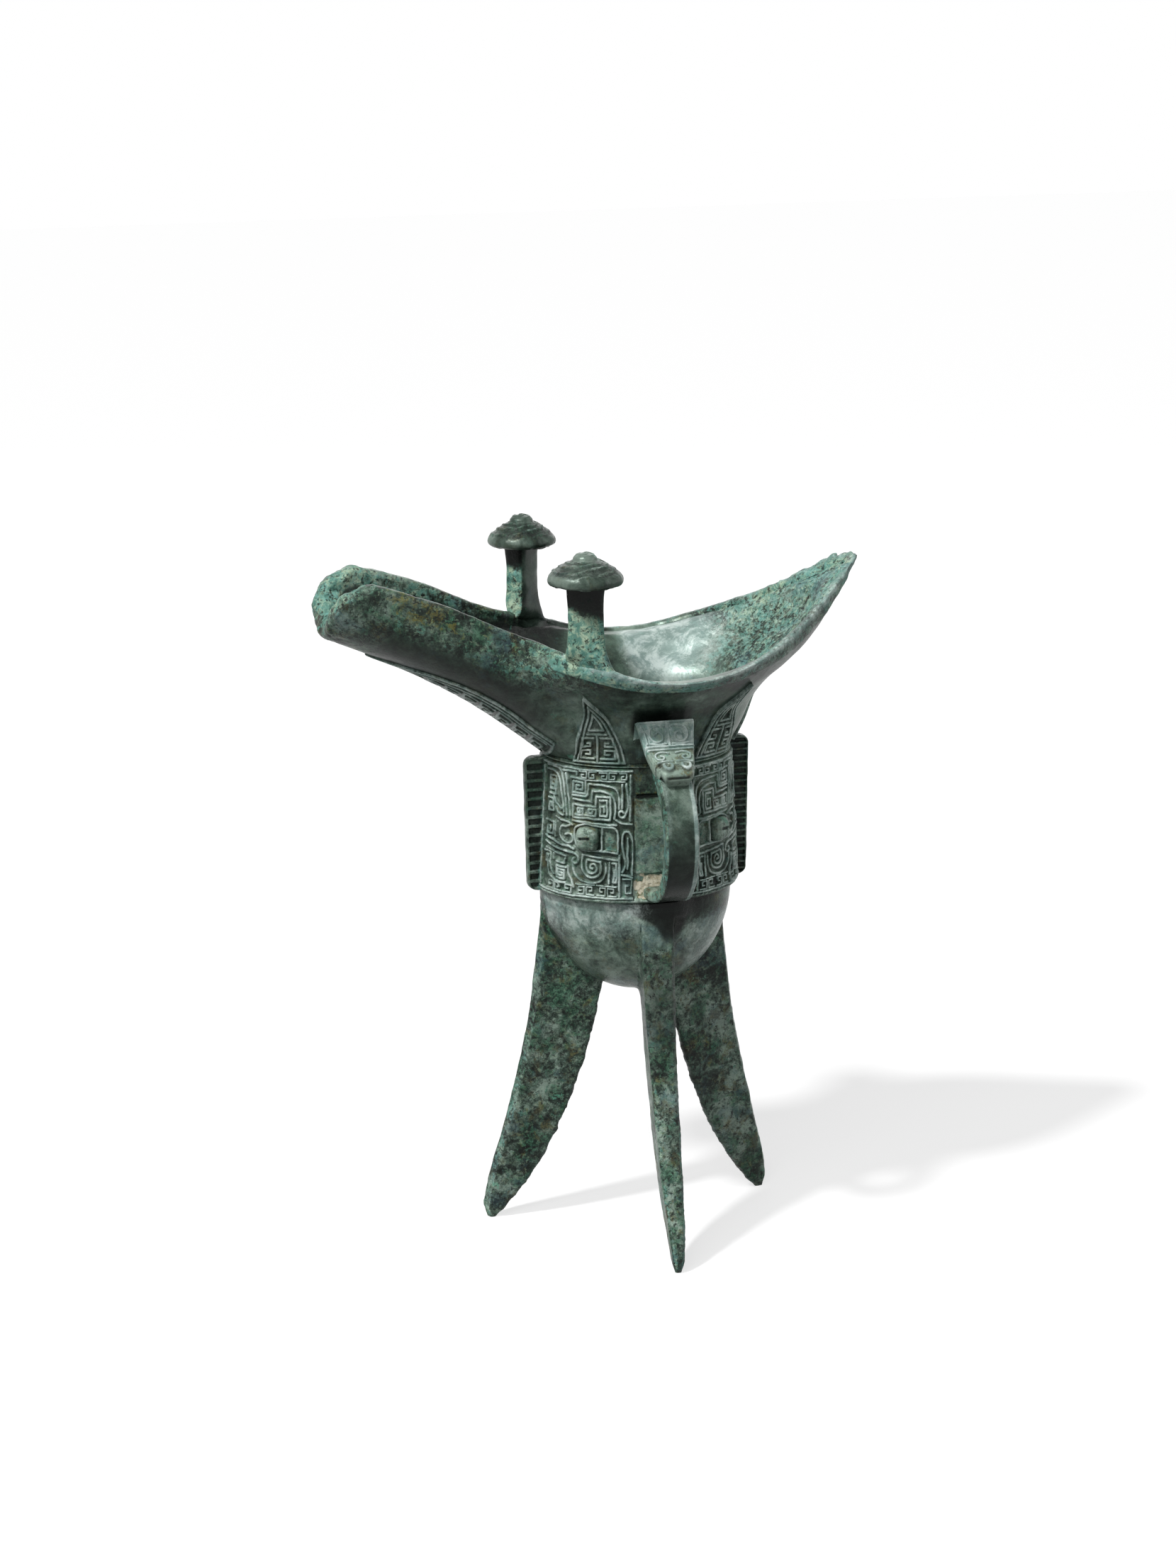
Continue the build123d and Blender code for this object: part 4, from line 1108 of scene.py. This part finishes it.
def flange(node, angle, foot, top, pitch, tall=BAND_TALL):
    rows = 260
    v = np.linspace(0, tall, rows)[:, None]
    wall = foot + (top - foot) * v / BAND_TALL
    reach = foot + FIN_FOOT_REACH + (top + FIN_TOP_REACH - foot - FIN_FOOT_REACH) * v / BAND_TALL
    end = np.minimum(np.minimum(v, tall - v), FIN_CORNER)
    reach = reach - FIN_CORNER + np.sqrt(FIN_CORNER**2 - (FIN_CORNER - end) ** 2)
    # Across: up one side, round the outer edge and down the other side
    side = np.linspace(0, 1, 34)
    bow = math.pi * (np.linspace(0, 1, 12)[1:-1] - 0.5)
    up = (wall - FIN_ROOT) + (reach - FIN_ROUND - wall + FIN_ROOT) * side
    rr = np.concatenate([up, reach - FIN_ROUND + FIN_ROUND * np.cos(bow), up[:, ::-1]], 1)
    edge = FIN_HALF * np.sign(bow) * np.abs(np.sin(bow)) ** 0.6
    ww = np.concatenate([np.full(34, -FIN_HALF), edge, np.full(34, FIN_HALF)]) + 0 * rr
    on_side = np.concatenate([np.ones(34), np.zeros(10), np.ones(34)])
    vv = v + 0 * rr
    rib = ramp(0.36, 0.26, np.abs((vv / pitch) % 1.0 - 0.5))
    slot = rib * on_side * ramp(0.7, 1.2, rr - wall) * ramp(0.5, 1.0, reach - rr)
    slot *= ramp(0.6, 1.2, vv) * ramp(0.6, 1.2, tall - vv)
    ww = ww - np.sign(ww) * 0.75 * slot
    turn = math.radians(angle)
    x, y = rr * math.cos(turn) - ww * math.sin(turn), rr * math.sin(turn) + ww * math.cos(turn)
    points = np.stack([x, y, BAND_FOOT + vv], -1).reshape(-1, 3)
    count = rr.shape[1]
    faces = grid_faces(rows, count, flip=True)
    points = roughen(points, faces, 0.08 * noise(points, 2.4, 61, 2))
    j = np.arange(count // 2 - 1)
    ends = np.stack([j, j + 1, count - 2 - j, count - 1 - j], 1)
    faces = np.concatenate([faces, ends, (ends + (rows - 1) * count)[:, ::-1]])
    piece(
        node, points, faces, MAT_RELIEF, "bronze_relief", relief=0.3 * (1 - slot), dark=0.3 + 0.55 * slot,
        crust=0.15 + 0.5 * ramp(2.2, 0.6, rr - wall),
    )


# Handle: plain strap and the animal head over its top.
# Points are distance from the axis and height above the band's foot.
HANDLE_OUTER = [
    (19.0, 47.2), (25.0, 46.2), (29.0, 43.8), (32.8, 41.2), (37.4, 38.2), (41.2, 34.0), (43.8, 29.4),
    (45.0, 22.5), (44.6, 15.5), (42.0, 9.5), (37.0, 4.6), (30.0, 2.0), (19.0, 1.2),
]
HANDLE_INNER = [
    (19.0, 41.4), (23.0, 40.8), (27.0, 39.0), (30.6, 36.2), (34.4, 33.0), (37.8, 29.4), (39.6, 25.0),
    (39.8, 19.5), (38.2, 12.8), (34.6, 8.0), (29.0, 5.4), (19.0, 4.6),
]
HEAD_LINE = [
    (27.0, 52.2), (28.4, 50.6), (30.4, 47.6), (32.6, 45.0), (35.4, 42.9), (38.2, 41.4), (39.6, 39.8),
    (39.6, 38.0), (39.2, 36.6), (39.2, 35.4),
]
HEAD_SPIRALS = (
    [
        (0.9, 2.0), (3.2, 1.9), (5.0, 3.0), (5.2, 5.0), (3.8, 6.6), (2.0, 6.2), (1.7, 4.6), (2.8, 3.7),
        (3.7, 4.4),
    ],
    [(7.4, 1.6), (6.6, 4.0), (6.2, 7.0)],
    [(0.9, 7.2), (3.0, 7.4), (5.6, 7.0)],
    [(1.0, 10.2), (3.2, 9.9), (4.8, 10.8), (4.5, 12.2), (3.1, 12.6), (2.5, 11.6), (3.4, 11.2)],
    [(0.5, 13.4), (2.4, 13.3), (4.8, 13.8)],
)
HEAD_EYE = (2.5, 15.6)
HEAD_STATIONS = (0, 8.6, 12.8, 16.0, 18.4)
HEAD_HALVES = (8.2, 6.7, 5.8, 5.0, 4.4, 2.2)
HEAD_DEPTH = 4.2
MUZZLE = 17.4
STRAP_HALF = 4.6


def strap():
    stations, around = 170, 56
    out_line, in_line = smooth_path(HANDLE_OUTER, stations), smooth_path(HANDLE_INNER, stations)
    middle, half = (out_line + in_line) / 2, (out_line - in_line) / 2
    cx, cy = rounded_square(np.linspace(0, FULL_TURN, around, endpoint=False), 0.42)
    share = np.linspace(0, 1, stations)[:, None]
    x = HANDLE_X + (STRAP_HALF + 0.5 * ramp(0.75, 1.0, share)) * cx
    depth = cy - 0.175 * (1 - cx**2) * (cy > 0.9)
    dist, high = middle[:, :1] + half[:, :1] * depth, middle[:, 1:] + half[:, 1:] * depth
    points = np.stack([x, -dist, BAND_FOOT + high], -1).reshape(-1, 3)
    faces = grid_faces(stations, around, wrap_cols=True)
    points = roughen(points, faces, 0.1 * noise(points, 5.0, 71, 2))
    edge = np.clip(np.abs(cx) + np.abs(cy) - 1.55, 0, 0.4) / 0.4
    face = cy > 0.85
    # Painted highlights: a thin bright line down the edge towards the tail and a pale upper left of the face.
    # The face is dark metal with painted shade growing towards its lower end
    edge_highlight = between(0.6, 0.75, 0.9, 0.96, cx) * (cy > 0.7) * ramp(0.2, 0.3, share)
    painted_highlight = face * ramp(1.0, -0.5, cx) * ramp(0.6, 0.42, share)
    dark = face * (0.4 + 0.5 * ramp(0.36, 0.6, share)) - edge_highlight - 0.3 * painted_highlight
    piece(
        "handle_strap", points, faces, MAT_PLAIN, "bronze_plain",
        relief=np.clip(1.3 * edge_highlight + 0.3 * edge + 0.5 * painted_highlight, 0, 1), dark=np.clip(dark, 0, 1),
        crust=np.tile(0.12 + 0.42 * (cx < -0.9), stations), smooth=np.tile(0.8 * face, stations),
    )


def head_strokes():
    lines = [[(0, 1.0), (0, 7.6)]]
    lines += [[(-half, level), (half, level)] for half, level in ((7.6, 0.8), (6.6, 8.0), (6.3, 9.0))]
    for side in (-1, 1):
        lines += [bend([(side * a, b) for a, b in curve], 36) for curve in HEAD_SPIRALS]
    return lines


def head():
    rows, cols = 190, 130
    line = smooth_path(HEAD_LINE, rows)
    length = running_length(line)
    tangent = unit(np.gradient(line, axis=0))
    normal = np.stack([-tangent[:, 1], tangent[:, 0]], 1)
    total = length[-1]
    half = np.interp(length, [*HEAD_STATIONS, total], HEAD_HALVES)[:, None]
    a = np.linspace(-1, 1, cols)[None] * half
    s = length[:, None] + 0 * a
    ridge = stroke_field(a, s, head_strokes(), 0.3, 0.2)
    muzzle = bump_at(MUZZLE, 2.3, s) * ramp(4.9, 3.4, np.abs(a))
    from_eye = np.hypot(np.abs(a) - HEAD_EYE[0], s - HEAD_EYE[1])
    rings = between(0.55, 0.9, 1.35, 1.75, from_eye)
    groove = bump_at(14.4, 0.35, s) + bump_at(18.7, 0.3, s) * ramp(3.4, 2.6, np.abs(a))
    lift = 0.65 * ridge + muzzle + 0.45 * rings - 0.4 * groove
    lift += 0.55 * ramp(2.1, 1.3, from_eye) + 0.35 * ramp(0.5, 0.2, from_eye)
    lift -= 0.7 * ramp(0.9, 1.0, np.abs(a) / half) ** 2
    lift -= 1.2 * ramp(total - 1.6, total, s) + 0.5 * ramp(0.8, 0.0, s)
    dist, high = [line[:, k : k + 1] + normal[:, k : k + 1] * lift for k in (0, 1)]
    top = np.stack([HANDLE_X + a, -dist, BAND_FOOT + high], -1)
    # Side walls and the back go down to the strap
    low = line - normal * HEAD_DEPTH
    walls = []
    for column in (0, cols - 1):
        across = HANDLE_X + a[:, column] * 0.9
        walls.append(np.stack([across, -low[:, 0], BAND_FOOT + low[:, 1]], -1)[:, None])
    sheet = np.concatenate([walls[0], top, walls[1]], 1)
    first, last = sheet[0] + (0.0, 1.6, -5.0), sheet[-1] + (0.0, 2.2, -0.4)
    sheet = np.concatenate([first[None], sheet, last[None]])
    plate = ramp(9.5, 8.0, s)
    relief = 0.9 * ridge + 0.35 * muzzle + 0.7 * rings + 0.75 * plate
    dark = 0.8 * groove + 0.2 * (1 - ridge) * plate * ramp(4.0, 0.6, np.abs(s - 4.5))
    # Painted shade under the end of the muzzle; the eyes are dark inside their rings
    dark += 0.25 * ramp(17.6, 19.6, s) + 0.4 * (1 - rings) * ramp(2.4, 1.6, from_eye)
    fields = {"relief": np.clip(relief, 0, 1), "dark": np.clip(dark, 0, 1)}
    fields |= {"crust": 0.3 + 0.6 * plate, "ochre": 0.3 * plate}
    fields = {key: np.pad(values, 1, mode="edge") for key, values in fields.items()}
    faces = grid_faces(rows + 2, cols + 2, flip=True)
    piece("handle_beast_head", sheet, faces, MAT_HEAD, "bronze_relief", **fields)


# Posts on the rim and their caps with whorls: place, cap radius, height above the rim and turn in degrees
POSTS = {"near": (-22.3, -31.6, 10.1, 21.8, -14.0), "far": (-24.1, 31.4, 9.5, 20.7, 45.0)}
POST_HALF = (4.65, 2.9)
POST_ROOT = 5.0
WHORL_ARMS, WHORL_PITCH = 3, 3.4


def post_foot(x):
    return BAND_TOP + float(np.interp(x, RIM[:, 0], RIM[:, 1]))


def post(name, skin):
    x, y, _, tall, tilt = POSTS[name]
    rows, cols = 130, 96
    foot = post_foot(x)
    z = np.linspace(foot - POST_ROOT, foot + tall + 0.4, rows)[:, None]
    rise = z - foot
    root = np.exp(-np.maximum(rise + 2.0, 0) / 3.2)
    neck = np.exp(-(tall - rise) / 2.2)
    cx, cy = rounded_square(np.linspace(0, FULL_TURN, cols, endpoint=False), 0.4)
    px = (POST_HALF[0] + 4.2 * root + 0.7 * neck) * cx
    py = (POST_HALF[1] + 1.8 * root + 0.6 * neck) * cy
    cos, sin = math.cos(math.radians(tilt)), math.sin(math.radians(tilt))
    points = np.stack([x + px * cos - py * sin, y + px * sin + py * cos, z + 0 * px], -1)
    # The root runs out onto the wall
    hold = ramp(4.0, -1.5, points[..., 2] - BAND_TOP - rim_height(points[..., 0]))
    for index in zip(*np.nonzero(hold > 0)):
        spot, normal, _, _ = skin.find_nearest(Vector(points[index]))
        points[index] += (np.array(spot) - 0.35 * np.array(normal) - points[index]) * hold[index]
    points = points.reshape(-1, 3)
    faces = grid_faces(rows, cols, wrap_cols=True)
    points = roughen(points, faces, 0.14 * noise(points, 4.0, 81, 2) * (1 - hold.ravel()))
    # Painted highlight along the post's edges on the side towards the tail
    edge = np.clip(np.abs(cx) + np.abs(cy) - 1.6, 0, 0.4) / 0.4 * (cx > 0)
    # Painted shadow of the cap over the top of the post, with less crust under it
    shade = ramp(tall - 9.0, tall - 6.0, rise + 0.45 * px)
    # One face of the far post is smooth metal
    plain = (ramp(-0.8, -0.95, cy) if name == "far" else 0.0) + 0 * px
    piece(
        "post_" + name, points, faces, MAT_MOUTH, "bronze_plain",
        relief=np.tile(0.5 * edge, rows), crust=0.82 - 0.5 * shade - 0.8 * plain,
        dark=1.05 * shade * (1 - plain) + 0.35 * plain, ochre=0.25 * (1 - plain), smooth=plain,
    )


def cap(name):
    x, y, radius, tall, _ = POSTS[name]
    rows, cols = 130, 240
    profile = [
        (0.02, 8.3), (1.6, 8.25), (2.6, 7.9), (3.1, 7.3), (3.3, 6.7), (3.9, 6.4), (0.58 * radius, 5.6),
        (0.78 * radius, 4.3), (0.92 * radius, 3.1), (radius - 0.2, 2.2), (radius, 1.35), (radius - 0.2, 0.6),
        (radius - 1.0, 0.1), (0.6 * radius, 0.3), (0.02, 0.4),
    ]
    line = smooth_path(profile, rows)
    row = np.arange(rows)[:, None]
    turn = np.linspace(0, FULL_TURN, cols, endpoint=False)
    rr, hh = line[:, :1] + 0 * turn, line[:, 1:] + 0 * turn
    upper = (row < 84) * between(3.2, 4.0, radius - 1.4, radius - 0.4, rr)
    uneven = noise(np.stack([rr * np.cos(turn), rr * np.sin(turn), 0 * rr], -1), 3.0, 93, 2)
    whorl = np.cos(WHORL_ARMS * turn + WHORL_PITCH * rr + 1.2 * uneven)
    ridge = ramp(0.15, 0.85, whorl) * upper * (0.75 + 0.4 * uneven)
    swirl = ramp(0.0, 0.8, np.cos(2 * turn + 3.2 * rr)) * ramp(2.9, 2.2, rr) * (row < 40)
    slope = unit(np.gradient(line, axis=0))
    lift = 0.42 * ridge + 0.25 * swirl - 0.15 * upper
    rr, hh = rr - slope[:, 1:] * lift, hh + slope[:, :1] * lift
    foot = post_foot(x) + tall
    points = np.stack([x + rr * np.cos(turn), y + rr * np.sin(turn), foot + hh], -1).reshape(-1, 3)
    faces = grid_faces(rows, cols, wrap_cols=True, flip=True)
    points = roughen(points, faces, 0.14 * noise(points, 2.2, 91, 3))
    piece(
        "cap_" + name, points, faces, MAT_RELIEF, "bronze_relief",
        relief=np.clip(0.5 * ridge + 0.15 * swirl, 0, 1), crust=0.14 + 0.2 * uneven,
        # Darker overall, darker grooves between the whorls, and painted shade on the underside
        dark=np.clip(0.42 + 0.3 * (upper - ridge) + 0.6 * (row > 104), 0, 1), smooth=0.85 * (1 - upper),
    )


# Neck leaves: direction in degrees, lean towards the tip, and shift along the wall
NECK_LEAVES = {
    "near_left": (225.0, 1.8, 1.6), "near_right": (315.0, 1.5, 0.0),
    "far_left": (135.0, -1.8, -1.6), "far_right": (45.0, -1.5, 0.0),
}
NECK_LEAF_SIZE, TAIL_LEAF_SIZE = (14.6, 21.0), (12.0, 18.0)
NECK_LEAF_FOOT = 0.2

bowl_and_legs()
body_wall()
SKIN = mouth_pieces()
for y_name, y_side in (("near", 1), ("far", -1)):
    for x_name, x_side in (("left", 1), ("right", -1)):
        quarter = y_name + "_" + x_name
        panel("mask_panel_" + quarter, x_side, y_side, y_name == "far")
        eye("mask_eye_" + quarter, x_side, y_side)
for quarter, (angle, lean, shift) in NECK_LEAVES.items():
    leaf("neck_blade_" + quarter, SKIN, angle, *NECK_LEAF_SIZE, lean, shift, NECK_LEAF_FOOT)
leaf("tail_blade", SKIN, 0.0, *TAIL_LEAF_SIZE)
spout_leaf(SKIN)
flange("flange_spout_side", 180.0, FOOT_AXES[0], TOP_AXES[0], pitch=2.6, tall=37.8)
flange("flange_tail_side", 0.0, FOOT_AXES[0], TOP_AXES[0], pitch=1.8, tall=40.0)
flange("flange_far_side", 90.0, FOOT_AXES[1], TOP_AXES[1], pitch=2.6)
strap()
head()
for name in POSTS:
    post(name, SKIN)
    cap(name)


# Floor, light and camera, in metres
FLOOR_SIZE = 3.0
FLOOR_GREY = 0.25
FLOOR_GLOW = 0.7
WORLD_LIGHT = 0.1
SUN_POWER, SUN_ANGLE, SUN_DIRECTION = 4.1, 5.0, (0.52, 0.28, -0.807)
LAMP_TARGET = Vector((0, 0, 0.12))
LAMPS = (
    ("front", (-0.55, -0.75, 0.85), 6.0, 0.5),
    ("side", (1.0, -0.25, 0.5), 3.8, 0.7),
    ("back", (0.35, 1.1, 0.6), 3.0, 1.0),
)
LENS, SENSOR = 82.27, 36.0
CAMERA_PLACE = (-0.25714, -0.92663, 0.37428)
CAMERA_AHEAD = (0.24600, 0.93695, -0.24821)
CAMERA_ROLL = -0.54


def seen_white(t):
    """One for rays from the camera, also reflected or let through, which see the background as white."""
    path = t.node("ShaderNodeLightPath").outputs
    seen = t.math("MAXIMUM", path["Is Camera Ray"], path["Is Glossy Ray"])
    return t.math("MAXIMUM", seen, path["Is Transmission Ray"])


def add_lamp(name, kind, power, direction):
    light = bpy.data.lights.new(name, kind)
    light.energy = power
    lamp = add_object(name, light)
    lamp.rotation_mode = "QUATERNION"
    lamp.rotation_quaternion = Vector(direction).to_track_quat("-Z", "Y")
    return lamp


def stage():
    mesh = bpy.data.meshes.new("floor")
    corners = [(x * FLOOR_SIZE, y * FLOOR_SIZE, 0) for x, y in ((-1, -1), (1, -1), (1, 1), (-1, 1))]
    mesh.from_pydata(corners, [], [(0, 1, 2, 3)])
    floor = add_object("floor", mesh)
    material = bpy.data.materials.new("floor_white")
    t = Tree(material)
    white = t.node("ShaderNodeBsdfDiffuse", Color=(FLOOR_GREY, FLOOR_GREY, FLOOR_GREY, 1))
    glow = t.node("ShaderNodeEmission", Strength=t.times(seen_white(t), FLOOR_GLOW))
    both = t.node("ShaderNodeAddShader", i0=white.outputs[0], i1=glow.outputs[0])
    t.node("ShaderNodeOutputMaterial", Surface=both.outputs[0])
    mesh.materials.append(material)

    world = bpy.data.worlds.new("studio")
    bpy.context.scene.world = world
    t = Tree(world)
    strength = t.node("ShaderNodeMapRange", i0=seen_white(t), i3=WORLD_LIGHT, i4=1.0).outputs[0]
    back = t.node("ShaderNodeBackground", Color=(1, 1, 1, 1), Strength=strength)
    t.node("ShaderNodeOutputWorld", Surface=back.outputs[0])

    add_lamp("key", "SUN", SUN_POWER, SUN_DIRECTION).data.angle = math.radians(SUN_ANGLE)
    for name, place, power, width in LAMPS:
        lamp = add_lamp(name, "AREA", power, LAMP_TARGET - Vector(place))
        lamp.location = place
        lamp.data.size = width


def camera():
    data = bpy.data.cameras.new("camera")
    data.sensor_width = SENSOR
    data.lens = LENS
    data.clip_start, data.clip_end = 0.05, 20.0
    thing = add_object("camera", data)
    ahead = Vector(CAMERA_AHEAD).normalized()
    level = ahead.cross(Vector((0, 0, 1))).normalized()
    upright = level.cross(ahead)
    cos, sin = math.cos(math.radians(CAMERA_ROLL)), math.sin(math.radians(CAMERA_ROLL))
    turn = Matrix((level * cos + upright * sin, upright * cos - level * sin, -ahead)).transposed().to_4x4()
    thing.matrix_world = Matrix.Translation(Vector(CAMERA_PLACE) + Vector(AXIS)) @ turn
    bpy.context.scene.camera = thing


stage()
camera()
bpy.context.scene.view_settings.view_transform = "Standard"
bpy.context.view_layer.update()
